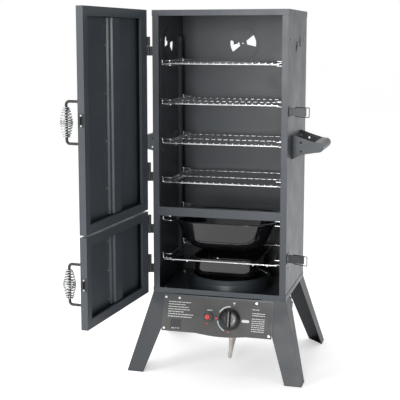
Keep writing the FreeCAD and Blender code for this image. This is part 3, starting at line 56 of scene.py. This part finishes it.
class Shader:
    """A material's node tree, with short calls for the nodes that the finishes share."""

    def __init__(self, name):
        self.material = bpy.data.materials.new(name)
        self.material.use_nodes = True
        self.tree = self.material.node_tree
        self.surface = self.tree.nodes["Principled BSDF"]
        self.place = self.node("ShaderNodeTexCoord").outputs["Object"]

    def node(self, kind, **settings):
        made = self.tree.nodes.new(kind)
        for key, value in settings.items():
            setattr(made, key, value)
        return made

    def link(self, source, target):
        self.tree.links.new(source, target)

    def set(self, **values):
        """Set constant values on the shader's own sockets."""
        for key, value in values.items():
            self.surface.inputs[key.replace("_", " ")].default_value = value

    def noise(self, scale, detail=2.0, roughness=0.5, stretch=None):
        """Noise of so many cells per metre, drawn out along an axis if asked."""
        texture = self.node("ShaderNodeTexNoise")
        texture.inputs["Scale"].default_value = scale
        texture.inputs["Detail"].default_value = detail
        texture.inputs["Roughness"].default_value = roughness
        source = self.place
        if stretch:
            mapping = self.node("ShaderNodeMapping")
            mapping.inputs["Scale"].default_value = stretch
            self.link(source, mapping.inputs["Vector"])
            source = mapping.outputs["Vector"]
        self.link(source, texture.inputs["Vector"])
        return texture.outputs["Fac"]

    def ramp(self, source, low, high, low_value, high_value):
        """Map part of a range to two values or two colours."""
        made = self.node("ShaderNodeValToRGB")
        self.link(source, made.inputs["Fac"])
        for stop, place, value in zip(made.color_ramp.elements, (low, high), (low_value, high_value)):
            stop.position = place
            stop.color = (*value, 1) if isinstance(value, tuple) else (value, value, value, 1)
        return made.outputs["Color"]

    def mix(self, share, first, second, blend="MIX"):
        made = self.node("ShaderNodeMix", data_type="RGBA", blend_type=blend)
        for source, socket in ((share, 0), (first, 6), (second, 7)):
            if isinstance(source, bpy.types.NodeSocket):
                self.link(source, made.inputs[socket])
            else:
                made.inputs[socket].default_value = source if socket == 0 else (*source, 1)
        return made.outputs[2]

    def math(self, operation, first, second=None):
        made = self.node("ShaderNodeMath", operation=operation)
        for index, source in enumerate((first, second)):
            if isinstance(source, bpy.types.NodeSocket):
                self.link(source, made.inputs[index])
            elif source is not None:
                made.inputs[index].default_value = source
        return made.outputs[0]

    def bump(self, height, distance, strength=1.0, normal=None):
        made = self.node("ShaderNodeBump")
        made.inputs["Distance"].default_value = distance
        made.inputs["Strength"].default_value = strength
        self.link(height, made.inputs["Height"])
        if normal:
            self.link(normal, made.inputs["Normal"])
        self.link(made.outputs["Normal"], self.surface.inputs["Normal"])

    def crevice(self, reach):
        """Near 0 deep in a gap between parts, 1 in the open."""
        made = self.node("ShaderNodeAmbientOcclusion", samples=6)
        made.inputs["Distance"].default_value = reach
        return made.outputs["AO"]

    def rounded(self, radius):
        """Normal of the surface as if its edges were rounded, and how near an edge is."""
        bevel = self.node("ShaderNodeBevel", samples=6)
        bevel.inputs["Radius"].default_value = radius
        flat = self.node("ShaderNodeNewGeometry").outputs["Normal"]
        dot = self.node("ShaderNodeVectorMath", operation="DOT_PRODUCT")
        self.link(bevel.outputs["Normal"], dot.inputs[0])
        self.link(flat, dot.inputs[1])
        nearness = self.math("SUBTRACT", 1.0, dot.outputs["Value"])
        return bevel.outputs["Normal"], nearness


# ------------------------------------------------------------------- finishes

def coated_steel(name, colour, edge_wear_and_highlight_colour, roughness, edge_radius=0.9 * MM):
    """Powder coat on sheet steel: orange peel, colour drift, edges lightened by wear and by painted
    highlight, painted shade in gaps and cavities.
    """
    shader = Shader(name)
    normal, edge = shader.rounded(edge_radius)
    drift = shader.ramp(shader.noise(4.5, 3), 0.3, 0.7, 0.9, 1.1)
    body = shader.mix(1.0, colour, drift, "MULTIPLY")
    speck = shader.ramp(shader.noise(900, 1), 0.35, 0.75, 0.93, 1.12)
    body = shader.mix(1.0, body, speck, "MULTIPLY")
    # Painted shade: darker where other parts come close, in the gaps between parts.
    painted_gap_shade = shader.ramp(shader.crevice(9 * MM), 0.35, 0.8, 0.25, 1.0)
    body = shader.mix(1.0, body, painted_gap_shade, "MULTIPLY")
    # Painted shade: darker deep inside the cabinet, where little light reaches.
    painted_cavity_shade = shader.ramp(shader.crevice(260 * MM), 0.1, 0.55, 0.4, 1.0)
    body = shader.mix(1.0, body, painted_cavity_shade, "MULTIPLY")
    # Lighter edges: worn in patches, and also a painted highlight along every rounded edge.
    edge_wear_and_highlight = shader.math("MULTIPLY", edge, shader.ramp(shader.noise(60, 3), 0.3, 0.7, 0.5, 2.6))
    edge_wear_and_highlight = shader.math("MINIMUM", edge_wear_and_highlight, 0.75)
    shader.link(shader.mix(edge_wear_and_highlight, body, edge_wear_and_highlight_colour), shader.surface.inputs["Base Color"])
    gloss = shader.ramp(shader.noise(14, 3), 0.3, 0.7, roughness - 0.04, roughness + 0.05)
    shader.link(gloss, shader.surface.inputs["Roughness"])
    shader.bump(shader.noise(1300, 1), 0.05 * MM, 0.35, normal)
    return shader.material


def cabinet_paint():
    return coated_steel("cabinet_paint", (0.044, 0.053, 0.063), (0.12, 0.14, 0.16), 0.36)


def dark_paint():
    return coated_steel("dark_paint", (0.018, 0.021, 0.025), (0.05, 0.06, 0.07), 0.45)


def leg_paint():
    # Painted shade: the colour is set darker than the cabinet's paint to offset the extra light on the legs'
    # upward-facing faces.
    return coated_steel("leg_paint", (0.023, 0.028, 0.034), (0.07, 0.085, 0.10), 0.42, 1.2 * MM)


def black_steel():
    return coated_steel("black_steel", (0.014, 0.015, 0.017), (0.09, 0.095, 0.10), 0.36, 0.5 * MM)


def chrome_wire():
    """Drawn wire with bright plating, a little dulled along its length."""
    shader = Shader("chrome_wire")
    tint = shader.ramp(shader.noise(55, 3), 0.3, 0.7, (0.60, 0.61, 0.62), (0.86, 0.87, 0.88))
    shader.link(tint, shader.surface.inputs["Base Color"])
    shader.set(Metallic=1.0)
    dull = shader.ramp(shader.noise(120, 2), 0.3, 0.75, 0.12, 0.26)
    shader.link(dull, shader.surface.inputs["Roughness"])
    shader.bump(shader.noise(1500, 1), 0.02 * MM, 0.3)
    return shader.material


def spring_wire():
    """Plated spring wire, dark where the turns and the rod shade it."""
    shader = Shader("spring_wire")
    # The tint is kept darker than the chrome wire's: painted shade standing in for dark reflections on the
    # coil.
    tint = shader.ramp(shader.noise(55, 3), 0.3, 0.7, (0.34, 0.35, 0.36), (0.55, 0.56, 0.57))
    shade = shader.ramp(shader.crevice(7 * MM), 0.45, 0.8, 0.03, 1.0)
    shader.link(shader.mix(1.0, tint, shade, "MULTIPLY"), shader.surface.inputs["Base Color"])
    shader.set(Metallic=1.0)
    dull = shader.ramp(shader.noise(120, 2), 0.3, 0.75, 0.14, 0.28)
    shader.link(dull, shader.surface.inputs["Roughness"])
    return shader.material


def black_enamel():
    """Glass enamel over pressed steel: deep gloss, slow waves, a few pale specks."""
    shader = Shader("black_enamel")
    speck = shader.ramp(shader.noise(520, 2), 0.70, 0.76, (0.006, 0.006, 0.007), (0.05, 0.05, 0.055))
    shader.link(speck, shader.surface.inputs["Base Color"])
    gloss = shader.ramp(shader.noise(22, 2), 0.3, 0.7, 0.05, 0.11)
    shader.link(gloss, shader.surface.inputs["Roughness"])
    shader.set(Coat_Weight=0.6, Coat_Roughness=0.04)
    shader.bump(shader.noise(26, 2), 1.2 * MM, 0.35)
    return shader.material


def zinc_steel():
    """Plated screws and brackets, bright with a faint brushed grain."""
    shader = Shader("zinc_steel")
    tint = shader.ramp(shader.noise(300, 2), 0.3, 0.7, (0.42, 0.43, 0.44), (0.66, 0.66, 0.65))
    shader.link(tint, shader.surface.inputs["Base Color"])
    shader.set(Metallic=1.0)
    grain = shader.ramp(shader.noise(900, 2, stretch=(1, 6, 1)), 0.3, 0.7, 0.28, 0.44)
    shader.link(grain, shader.surface.inputs["Roughness"])
    shader.bump(shader.noise(1100, 1), 0.03 * MM, 0.4)
    return shader.material


def label_print():
    """Warm dark grey printed sheet with a fine stipple."""
    shader = Shader("label_print")
    tone = shader.ramp(shader.noise(8, 2), 0.3, 0.7, (0.046, 0.047, 0.045), (0.060, 0.061, 0.058))
    stipple = shader.ramp(shader.noise(1600, 1), 0.3, 0.7, 0.88, 1.12)
    shader.link(shader.mix(1.0, tone, stipple, "MULTIPLY"), shader.surface.inputs["Base Color"])
    gloss = shader.ramp(shader.noise(30, 2), 0.3, 0.7, 0.44, 0.54)
    shader.link(gloss, shader.surface.inputs["Roughness"])
    shader.bump(shader.noise(1600, 1), 0.02 * MM, 0.3)
    return shader.material


def moulded_plastic(name, dark, light, roughness):
    """Moulded plastic: faint flow marks in the colour and a slightly uneven gloss."""
    shader = Shader(name)
    normal = shader.rounded(1.0 * MM)[0]
    body = shader.ramp(shader.noise(70, 3), 0.3, 0.7, dark, light)
    shader.link(body, shader.surface.inputs["Base Color"])
    gloss = shader.ramp(shader.noise(160, 2), 0.3, 0.7, roughness - 0.04, roughness + 0.06)
    shader.link(gloss, shader.surface.inputs["Roughness"])
    shader.bump(shader.noise(1900, 1), 0.02 * MM, 0.3, normal)
    return shader.material


def black_plastic():
    return moulded_plastic("black_plastic", (0.010, 0.010, 0.011), (0.018, 0.018, 0.020), 0.24)


def red_plastic():
    return moulded_plastic("red_plastic", (0.55, 0.025, 0.018), (0.66, 0.040, 0.028), 0.22)


def printed_ink(name, dark, light):
    """Screen-printed ink, a little uneven where the print is thin."""
    shader = Shader(name)
    body = shader.ramp(shader.noise(700, 2), 0.3, 0.7, dark, light)
    shader.link(body, shader.surface.inputs["Base Color"])
    gloss = shader.ramp(shader.noise(300, 1), 0.3, 0.7, 0.45, 0.6)
    shader.link(gloss, shader.surface.inputs["Roughness"])
    return shader.material


def burner_iron():
    """Heat-browned cast iron with a sandy skin."""
    shader = Shader("burner_iron")
    body = shader.ramp(shader.noise(45, 4), 0.3, 0.7, (0.030, 0.028, 0.027), (0.085, 0.070, 0.060))
    shader.link(body, shader.surface.inputs["Base Color"])
    shader.set(Metallic=0.4, Roughness=0.7)
    shader.bump(shader.noise(700, 3), 0.15 * MM, 0.6)
    return shader.material


def turned_metal(name, dark, light, roughness):
    """Turned or die-cast fitting with fine tool marks."""
    shader = Shader(name)
    normal = shader.rounded(0.6 * MM)[0]
    body = shader.ramp(shader.noise(130, 3), 0.3, 0.7, dark, light)
    shader.link(body, shader.surface.inputs["Base Color"])
    shader.set(Metallic=0.9)
    tooling = shader.noise(700, 2, stretch=(1, 1, 5))
    marks = shader.ramp(tooling, 0.3, 0.7, roughness - 0.06, roughness + 0.08)
    shader.link(marks, shader.surface.inputs["Roughness"])
    shader.bump(shader.noise(1200, 1), 0.03 * MM, 0.5, normal)
    return shader.material


def brass_fitting():
    return turned_metal("brass_fitting", (0.42, 0.36, 0.27), (0.58, 0.50, 0.38), 0.38)


def cast_grey():
    return turned_metal("cast_grey", (0.24, 0.24, 0.25), (0.36, 0.36, 0.37), 0.50)


def valve_alloy():
    return turned_metal("valve_alloy", (0.34, 0.33, 0.31), (0.48, 0.47, 0.44), 0.45)


def hose_cover():
    """Pale rubber hose: matte, faintly ribbed by its braid, dusted here and there."""
    shader = Shader("hose_cover")
    body = shader.ramp(shader.noise(60, 3), 0.3, 0.7, (0.36, 0.335, 0.31), (0.48, 0.455, 0.43))
    shader.link(body, shader.surface.inputs["Base Color"])
    gloss = shader.ramp(shader.noise(200, 2), 0.3, 0.7, 0.42, 0.58)
    shader.link(gloss, shader.surface.inputs["Roughness"])
    shader.bump(shader.noise(650, 1), 0.12 * MM, 0.5)
    return shader.material


def electrode_ceramic():
    """Off-white glazed ceramic."""
    shader = Shader("electrode_ceramic")
    body = shader.ramp(shader.noise(90, 2), 0.3, 0.7, (0.62, 0.58, 0.50), (0.76, 0.73, 0.66))
    shader.link(body, shader.surface.inputs["Base Color"])
    shader.set(Roughness=0.28)
    shader.bump(shader.noise(500, 1), 0.05 * MM, 0.3)
    return shader.material


FINISHES = {make.__name__: make() for make in (
    cabinet_paint, dark_paint, leg_paint, black_steel, chrome_wire, black_enamel, zinc_steel, label_print,
    black_plastic, red_plastic, burner_iron, brass_fitting, cast_grey, valve_alloy, hose_cover,
    electrode_ceramic, spring_wire)}
INK_WHITE = printed_ink("ink_white", (0.62, 0.64, 0.66), (0.80, 0.81, 0.82))
INK_BLUE = printed_ink("ink_blue", (0.36, 0.47, 0.52), (0.48, 0.60, 0.65))
INK_RED = printed_ink("ink_red", (0.60, 0.035, 0.025), (0.72, 0.06, 0.04))
INK_DARK = printed_ink("ink_dark", (0.018, 0.018, 0.019), (0.030, 0.030, 0.031))


def finish_cad_nodes():
    """Give every carried-over node its record slot's finish and smooth its curved faces."""
    for part in frame["record"]["subparts"]:
        mesh = NODES[part["node"]].data
        mesh.materials.clear()
        mesh.materials.append(FINISHES[part["material_slot"]])
        mesh.polygons.foreach_set("use_smooth", [True] * len(mesh.polygons))
        mesh.set_sharp_from_angle(angle=math.radians(32))


# --------------------------------------------------------------- mesh helpers

def add_piece(data, body, slot, finish=None):
    """Put new mesh or curve data in the scene, riding on a body and finished as a slot."""
    piece = bpy.data.objects.new(data.name, data)
    SCENE.collection.objects.link(piece)
    data.materials.append(finish or FINISHES[slot])
    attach(piece, body)
    return piece


def wire_curve(name, points, radius):
    """Round wire through points."""
    data = bpy.data.curves.new(name, "CURVE")
    data.dimensions = "3D"
    spline = data.splines.new("POLY")
    spline.points.add(len(points) - 1)
    for target, point in zip(spline.points, points):
        target.co = (*point, 1)
    data.bevel_depth = radius
    data.bevel_resolution = 3
    data.use_fill_caps = True
    return data


def finished_mesh(name, shape):
    """Mesh data from a bmesh, which is freed."""
    data = bpy.data.meshes.new(name)
    shape.to_mesh(data)
    shape.free()
    return data


def lofted(name, rings):
    """Quads between equal rings of points, with the last ring filled."""
    shape = bmesh.new()
    rows = [[shape.verts.new(point) for point in ring] for ring in rings]
    count = len(rows[0])
    for low, high in zip(rows, rows[1:]):
        for index in range(count):
            after = (index + 1) % count
            shape.faces.new((low[index], low[after], high[after], high[index]))
    centre = sum((vertex.co for vertex in rows[-1]), Vector()) / count
    hub = shape.verts.new(centre)
    for index in range(count):
        shape.faces.new((rows[-1][index], rows[-1][(index + 1) % count], hub))
    bmesh.ops.recalc_face_normals(shape, faces=shape.faces)
    for face in shape.faces:
        face.smooth = True
    return finished_mesh(name, shape)


def bezier(start, control, end, steps):
    """Points of a quadratic curve, both ends included."""
    points = []
    for step in range(steps + 1):
        share = step / steps
        points.append(start * (1 - share) ** 2 + control * 2 * share * (1 - share) + end * share ** 2)
    return points


# ------------------------------------------------------------ bowl and pan

def rounded_rectangle(centre, half_wide, half_deep, corner, height):
    """Ring of points around a rectangle with round corners."""
    corner_steps, edge_steps = 10, 4
    ring = []
    for across, along, first in ((1, 1, 0), (-1, 1, 90), (-1, -1, 180), (1, -1, 270)):
        for step in range(corner_steps + 1):
            angle = math.radians(first + 90 * step / corner_steps)
            x = centre.x + across * (half_wide - corner) + corner * math.cos(angle)
            y = centre.y + along * (half_deep - corner) + corner * math.sin(angle)
            ring.append(Vector((x, y, height)))
    dense = []
    for index, point in enumerate(ring):
        after = ring[(index + 1) % len(ring)]
        splits = edge_steps if (index + 1) % (corner_steps + 1) == 0 else 1
        dense += [point.lerp(after, split / splits) for split in range(splits)]
    return dense


VESSEL_STEEL = 1.4 * MM
LIP_INSET = 0.6 * MM
LIP_TURN = 3 * MM


def pressed_vessel(node, body, base_share, mouth_share, corner_share, foot_round, lip_round):
    """Deep-drawn pan with rounded foot, flared wall and a flat lip with a turned-down edge.

    The shares are of the node's half width and depth; the corner's share is of each ring's half width.
    """
    low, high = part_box(node)
    centre = (low + high) / 2
    lip = Vector(((high.x - low.x) / 2, (high.y - low.y) / 2))
    top = high.z - VESSEL_STEEL * 0.2
    foot = low.z + VESSEL_STEEL
    base = lip * base_share
    mouth = lip * mouth_share
    wall = Vector((mouth.x - base.x, top - foot))
    along_wall = wall.normalized()
    profile = bezier(Vector((-foot_round, foot)), Vector((0, foot)),
                     Vector((0, foot)) + along_wall * foot_round, 8)
    crest = Vector((wall.x, top))
    profile += bezier(crest - along_wall * lip_round, crest, crest + Vector((lip_round, 0)), 6)
    edge = lip.x - base.x - LIP_INSET
    profile += bezier(Vector((edge - LIP_TURN, top)), Vector((edge, top)), Vector((edge, top - LIP_TURN)), 4)
    rings = []
    deep_ratio = (mouth.y - base.y) / (mouth.x - base.x)
    for out, height in profile:
        wide = base.x + out
        if out < wall.x:
            deep = min(base.y + out * deep_ratio, lip.y - LIP_INSET)
        else:
            share = (out - wall.x) / (edge - wall.x)
            deep = mouth.y + (lip.y - LIP_INSET - mouth.y) * share
        corner = min(wide, deep) * corner_share
        rings.append(rounded_rectangle(centre, wide, deep, corner, height))
    data = lofted(node + "_pressing", rings[::-1])
    piece = add_piece(data, body, "black_enamel")
    solid = piece.modifiers.new("sheet", "SOLIDIFY")
    solid.thickness = VESSEL_STEEL
    solid.offset = -1
    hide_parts(node)


# ---------------------------------------------------------------- spring grips

SPRING_WIRE = 1.45 * MM
SPRING_TURNS = 13
SPRING_END_RADIUS = 7.2 * MM
SPRING_SWELL = 1.1
PITCH_CHANGE = 0.0225


def spring_grip(which):
    """Barrel-shaped coil of plated wire around the door handle's rod, its pitch a little uneven."""
    low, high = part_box(which + "_spring_grip")
    axis = (low + high) / 2
    turn_steps = 24
    widest = (high.x - low.x) / 2 - SPRING_WIRE
    tall = high.z - low.z - 2 * SPRING_WIRE
    points = []
    for index in range(SPRING_TURNS * turn_steps + 1):
        share = index / (SPRING_TURNS * turn_steps)
        angle = 2 * math.pi * index / turn_steps
        swell = math.sin(math.pi * share) ** SPRING_SWELL
        radius = SPRING_END_RADIUS + (widest - SPRING_END_RADIUS) * swell
        rise = share - PITCH_CHANGE * math.sin(4 * math.pi * share)
        points.append((axis.x + radius * math.cos(angle), axis.y + radius * math.sin(angle),
                       low.z + SPRING_WIRE + rise * tall))
    coil = wire_curve(which + "_grip_coil", points, SPRING_WIRE)
    piece = add_piece(coil, which + "_door", "chrome_wire", FINISHES["spring_wire"])
    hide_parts(which + "_spring_grip")


# ------------------------------------------------------------------- gas hose

HOSE_DIAMETER = 12.5 * MM
HOSE_ROUTE = [
    (0.040, -0.00366, 0.104), (0.040, -0.00366, 0.078), (0.034, 0.009, 0.050), (0.027, 0.034, 0.034),
    (0.022, 0.062, 0.036), (0.022, 0.087, 0.058), (0.031, 0.106, 0.097), (0.052, 0.128, 0.138),
    (0.084, 0.151, 0.159), (0.118, 0.170, 0.163),
]


def gas_hose():
    """Short hose that loops from the valve down and back up to the regulator."""
    data = bpy.data.curves.new("gas_hose_cover", "CURVE")
    data.dimensions = "3D"
    spline = data.splines.new("NURBS")
    spline.points.add(len(HOSE_ROUTE) - 1)
    for target, point in zip(spline.points, HOSE_ROUTE):
        target.co = (*point, 1)
    spline.order_u = 3
    spline.use_endpoint_u = True
    spline.resolution_u = 14
    data.bevel_depth = HOSE_DIAMETER / 2
    data.bevel_resolution = 6
    piece = add_piece(data, "cabinet", "hose_cover")
    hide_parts("gas_hose")


# -------------------------------------------------------------- printed label

# The panel leans as the legs do: 70 mm out over 230 mm of height.
PANEL_LEAN = math.atan2(70, 230)
PLATE_THICK = 0.6 * MM
PRINT_LIFT = 0.05 * MM
PRINT_THICK = 0.12 * MM
KNOB_PLACE = (40, 56.5)
IGNITER_PLACE = (-25, 54.5)


def plate_point(across, down, out):
    """Point on the label plate's face: millimetres across from the middle and down from its top."""
    low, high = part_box("label_plate")
    sine, cosine = math.sin(PANEL_LEAN), math.cos(PANEL_LEAN)
    top = Vector((0, high.y - PLATE_THICK * cosine, high.z))
    downward = Vector((0, -sine, -cosine))
    outward = Vector((0, -cosine, sine))
    return top + Vector((across * MM, 0, 0)) + downward * down * MM + outward * out


# Turned part of the knob: radius and height above the plate, in millimetres, from its underside up.
KNOB_TURNING = [(7, 5.3), (31.0, 5.3), (31.8, 6.0), (31.8, 8.2), (30.9, 9.4), (28.6, 10.3), (27.8, 11.2),
                (27.3, 16.8), (26.6, 18.2), (25.0, 18.9), (12, 19.2)]
# Grip bar: half width, half length and height above the plate.
KNOB_GRIP = [(7.6, 26.2, 17.5), (7.2, 26.0, 22.0), (6.6, 25.4, 26.0), (6.0, 24.8, 27.6), (4.8, 23.6, 28.6),
             (2.2, 21.0, 28.9)]


def control_knob():
    """Knob with a skirt, a drum and a grip bar that narrows to a rounded ridge."""
    around = 64
    rings = []
    for radius, height in KNOB_TURNING:
        turn = [2 * math.pi * step / around for step in range(around)]
        rings.append([plate_point(KNOB_PLACE[0] + radius * math.cos(angle),
                                  KNOB_PLACE[1] + radius * math.sin(angle), height * MM) for angle in turn])
    piece = add_piece(lofted("knob_turning", rings), "knob", "black_plastic")
    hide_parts("control_knob")
    rings = []
    for wide, long, height in KNOB_GRIP:
        flat = rounded_rectangle(Vector((0, 0)), wide, long, wide * 0.8, 0)
        rings.append([plate_point(KNOB_PLACE[0] + point.x, KNOB_PLACE[1] - point.y, height * MM)
                      for point in flat])
    add_piece(lofted("knob_grip", rings), "knob", "black_plastic")


def printed_patches(name, outlines, ink):
    """Thin solid patches of print from outlines in plate coordinates."""
    shape = bmesh.new()
    face = PRINT_LIFT + PRINT_THICK
    for outline in outlines:
        back = [shape.verts.new(plate_point(across, down, PRINT_LIFT)) for across, down in outline]
        front = [shape.verts.new(plate_point(across, down, face)) for across, down in outline]
        shape.faces.new(front)
        shape.faces.new(back[::-1])
        count = len(outline)
        for index in range(count):
            after = (index + 1) % count
            shape.faces.new((back[index], back[after], front[after], front[index]))
    bmesh.ops.recalc_face_normals(shape, faces=shape.faces)
    add_piece(finished_mesh(name, shape), "cabinet", "label_print", ink)


def bar(left, high, wide, tall):
    return [(left, high), (left + wide, high), (left + wide, high + tall), (left, high + tall)]


def disc(centre, radius, corners=16):
    return [(centre[0] + radius * math.cos(2 * math.pi * step / corners),
             centre[1] + radius * math.sin(2 * math.pi * step / corners)) for step in range(corners)]


def arc_band(centre, inner, outer, first, last, steps=30):
    """Ring sector; angles in degrees, 0 to the right and 90 up the plate."""
    edge = []
    for radius, order in ((inner, range(steps + 1)), (outer, range(steps, -1, -1))):
        for step in order:
            angle = math.radians(first + (last - first) * step / steps)
            edge.append((centre[0] + radius * math.cos(angle), centre[1] - radius * math.sin(angle)))
    return edge


def pill(left, middle, wide, tall, steps=8):
    """Bar with round ends."""
    radius = tall / 2
    edge = []
    for centre, first in ((left + wide - radius, -90), (left + radius, 90)):
        for step in range(steps + 1):
            angle = math.radians(first + 180 * step / steps)
            edge.append((centre + radius * math.cos(angle), middle + radius * math.sin(angle)))
    return edge


def line_of_dashes(left, high, wide, tall, seed):
    """A row of short dashes in place of a printed line, its pattern worked out from its number."""
    dashes = []
    place = left
    step = seed
    while place < left + wide - 1:
        long = 3.0 + 1.7 * ((step * 7) % 5)
        dashes.append(bar(place, high, min(long, left + wide - place), tall))
        place += long + 1.6
        step += 1
    return dashes


# Print left of the igniter and right of the knob: left edge, first row, row pitch and bar height.
LEFT_TEXT = (-151, 16, 7.2, 2.0)
LEFT_ROW_WIDTHS = (70, 52, 62, 66, 50, 78, 76)
RIGHT_TEXT = (106, 22, 6.0, 1.8)
RIGHT_ROW_WIDTHS = (22,) + (40,) * 9
RIGHT_ROW_GAPS = (0, 5, 5) + (9,) * 7
DIAL_RADII = (35.5, 39.0)
DOT_RADIUS = 2.4


def label_marks():
    """Generic marks where the real plate is printed: rows of dashes, dial arcs, dots and a pointer."""
    knob_across, knob_down = KNOB_PLACE
    igniter_across, igniter_down = IGNITER_PLACE
    white = []
    left, first, pitch, tall = LEFT_TEXT
    for row, wide in enumerate(LEFT_ROW_WIDTHS):
        white += line_of_dashes(left, first + pitch * row, wide, tall, row)
    left, first, pitch, tall = RIGHT_TEXT
    for row, (wide, gap) in enumerate(zip(RIGHT_ROW_WIDTHS, RIGHT_ROW_GAPS)):
        white += line_of_dashes(left, first + gap + pitch * row, wide, tall, row + 9)
    white.append(arc_band(KNOB_PLACE, *DIAL_RADII, 90, 150))
    white.append(pill(knob_across + 36, knob_down + 2, 23, 8))
    white.append(bar(knob_across + 7, knob_down - 50, 7, 3))
    white.append(bar(knob_across + 9.5, knob_down - 46, 1.6, 4))
    white += line_of_dashes(-138, 93, 26, 3.4, 2)
    printed_patches("plate_print_white", white, INK_WHITE)
    blue = [arc_band(KNOB_PLACE, *DIAL_RADII, 190, 246), bar(igniter_across - 5, igniter_down - 22, 15, 3)]
    printed_patches("plate_print_blue", blue, INK_BLUE)
    tail = knob_across - 44
    red = [
        [(tail, knob_down - 4), (tail + 8, knob_down), (tail, knob_down + 4)],
        disc((knob_across - 3, knob_down + 38), DOT_RADIUS),
        disc((igniter_across - 4, igniter_down + 19), DOT_RADIUS),
    ]
    printed_patches("plate_print_red", red, INK_RED)
    printed_patches("plate_print_patch", [bar(-142, 68, 34, 31)], INK_DARK)


# ----------------------------------------------------------------- surroundings

FLOOR_RADIUS = 40
FLOOR_GLOW = 0.4


def pale_floor():
    """Wide round floor that fades into the background."""
    shape = bmesh.new()
    bmesh.ops.create_circle(shape, cap_ends=True, segments=96, radius=FLOOR_RADIUS)
    data = finished_mesh("studio_floor", shape)
    floor = bpy.data.objects.new("studio_floor", data)
    SCENE.collection.objects.link(floor)
    shader = Shader("studio_floor")
    tone = shader.ramp(shader.noise(0.8, 2), 0.3, 0.7, 0.88, 0.92)
    shader.link(tone, shader.surface.inputs["Base Color"])
    shader.set(Roughness=0.9, Emission_Color=(1, 1, 1, 1), Emission_Strength=FLOOR_GLOW)
    data.materials.append(shader.material)


def softbox(name, place, aim, wide, tall, power):
    """Rectangular area light turned to face a point."""
    data = bpy.data.lights.new(name, "AREA")
    data.shape = "RECTANGLE"
    data.size, data.size_y = wide, tall
    data.energy = power
    lamp = bpy.data.objects.new(name, data)
    SCENE.collection.objects.link(lamp)
    lamp.location = place
    lamp.rotation_euler = (Vector(aim) - Vector(place)).to_track_quat("-Z", "Y").to_euler()


# The backdrop's strength on its dim and bright sides, the way to the bright side, and the fade between.
WORLD_DIM = 0.27
WORLD_BRIGHT = 1.0
WORLD_AWAY = (-0.95, 0.3, 0)
WORLD_FADE = (-0.5, 0.45)


def studio_world():
    """White backdrop; its light is strong from the left and weaker from the right."""
    world = bpy.data.worlds.new("studio")
    world.use_nodes = True
    tree = world.node_tree
    heading = tree.nodes.new("ShaderNodeTexCoord").outputs["Generated"]
    away = tree.nodes.new("ShaderNodeVectorMath")
    away.operation = "DOT_PRODUCT"
    away.inputs[1].default_value = WORLD_AWAY
    tree.links.new(heading, away.inputs[0])
    level = tree.nodes.new("ShaderNodeMapRange")
    tree.links.new(away.outputs["Value"], level.inputs["Value"])
    level.inputs["From Min"].default_value = WORLD_FADE[0]
    level.inputs["From Max"].default_value = WORLD_FADE[1]
    level.inputs["To Min"].default_value = WORLD_DIM
    level.inputs["To Max"].default_value = WORLD_BRIGHT
    background = tree.nodes["Background"]
    background.inputs["Color"].default_value = (1, 1, 1, 1)
    seen = tree.nodes.new("ShaderNodeLightPath").outputs["Is Camera Ray"]
    shown = tree.nodes.new("ShaderNodeMath")
    shown.operation = "MAXIMUM"
    tree.links.new(level.outputs["Result"], shown.inputs[0])
    tree.links.new(seen, shown.inputs[1])
    tree.links.new(shown.outputs[0], background.inputs["Strength"])
    SCENE.world = world


def studio_light():
    """Key from the left, a narrower box in front and a soft one above."""
    centre = (0, 0.1, 0.6)
    softbox("key_box", (-2.4, -2.4, 1.6), centre, 1.2, 1.2, 38)
    softbox("front_box", (-0.1, -3.4, 1.1), centre, 0.8, 1.2, 47)
    softbox("top_box", (0.0, 0.6, 3.0), centre, 1.6, 1.6, 20)


CAMERA_PLACE = (0.6778, -2.6326, 0.99)
CAMERA_YAW = 15.594
CAMERA_PITCH = 7.850
CAMERA_LENS = 84.631
CAMERA_SHIFT = -0.08


def camera():
    """Camera in front and to the right, above the middle of the cabinet, looking slightly down."""
    data = bpy.data.cameras.new("photo_camera")
    data.sensor_width = 36
    data.lens = CAMERA_LENS
    data.shift_y = CAMERA_SHIFT
    view = bpy.data.objects.new("photo_camera", data)
    SCENE.collection.objects.link(view)
    view.location = CAMERA_PLACE
    yaw, pitch = math.radians(CAMERA_YAW), math.radians(CAMERA_PITCH)
    forward = Vector((-math.sin(yaw) * math.cos(pitch), math.cos(yaw) * math.cos(pitch), -math.sin(pitch)))
    view.rotation_euler = forward.to_track_quat("-Z", "Y").to_euler()
    SCENE.camera = view


finish_cad_nodes()
pressed_vessel("water_bowl", "bowl", base_share=0.69, mouth_share=0.89, corner_share=0.62,
               foot_round=46 * MM, lip_round=7 * MM)
pressed_vessel("chip_pan", "carrier", base_share=0.86, mouth_share=0.888, corner_share=0.36,
               foot_round=26 * MM, lip_round=4 * MM)
spring_grip("upper")
spring_grip("lower")
control_knob()
gas_hose()
label_marks()
pale_floor()
studio_world()
studio_light()
camera()
SCENE.view_settings.view_transform = "Standard"
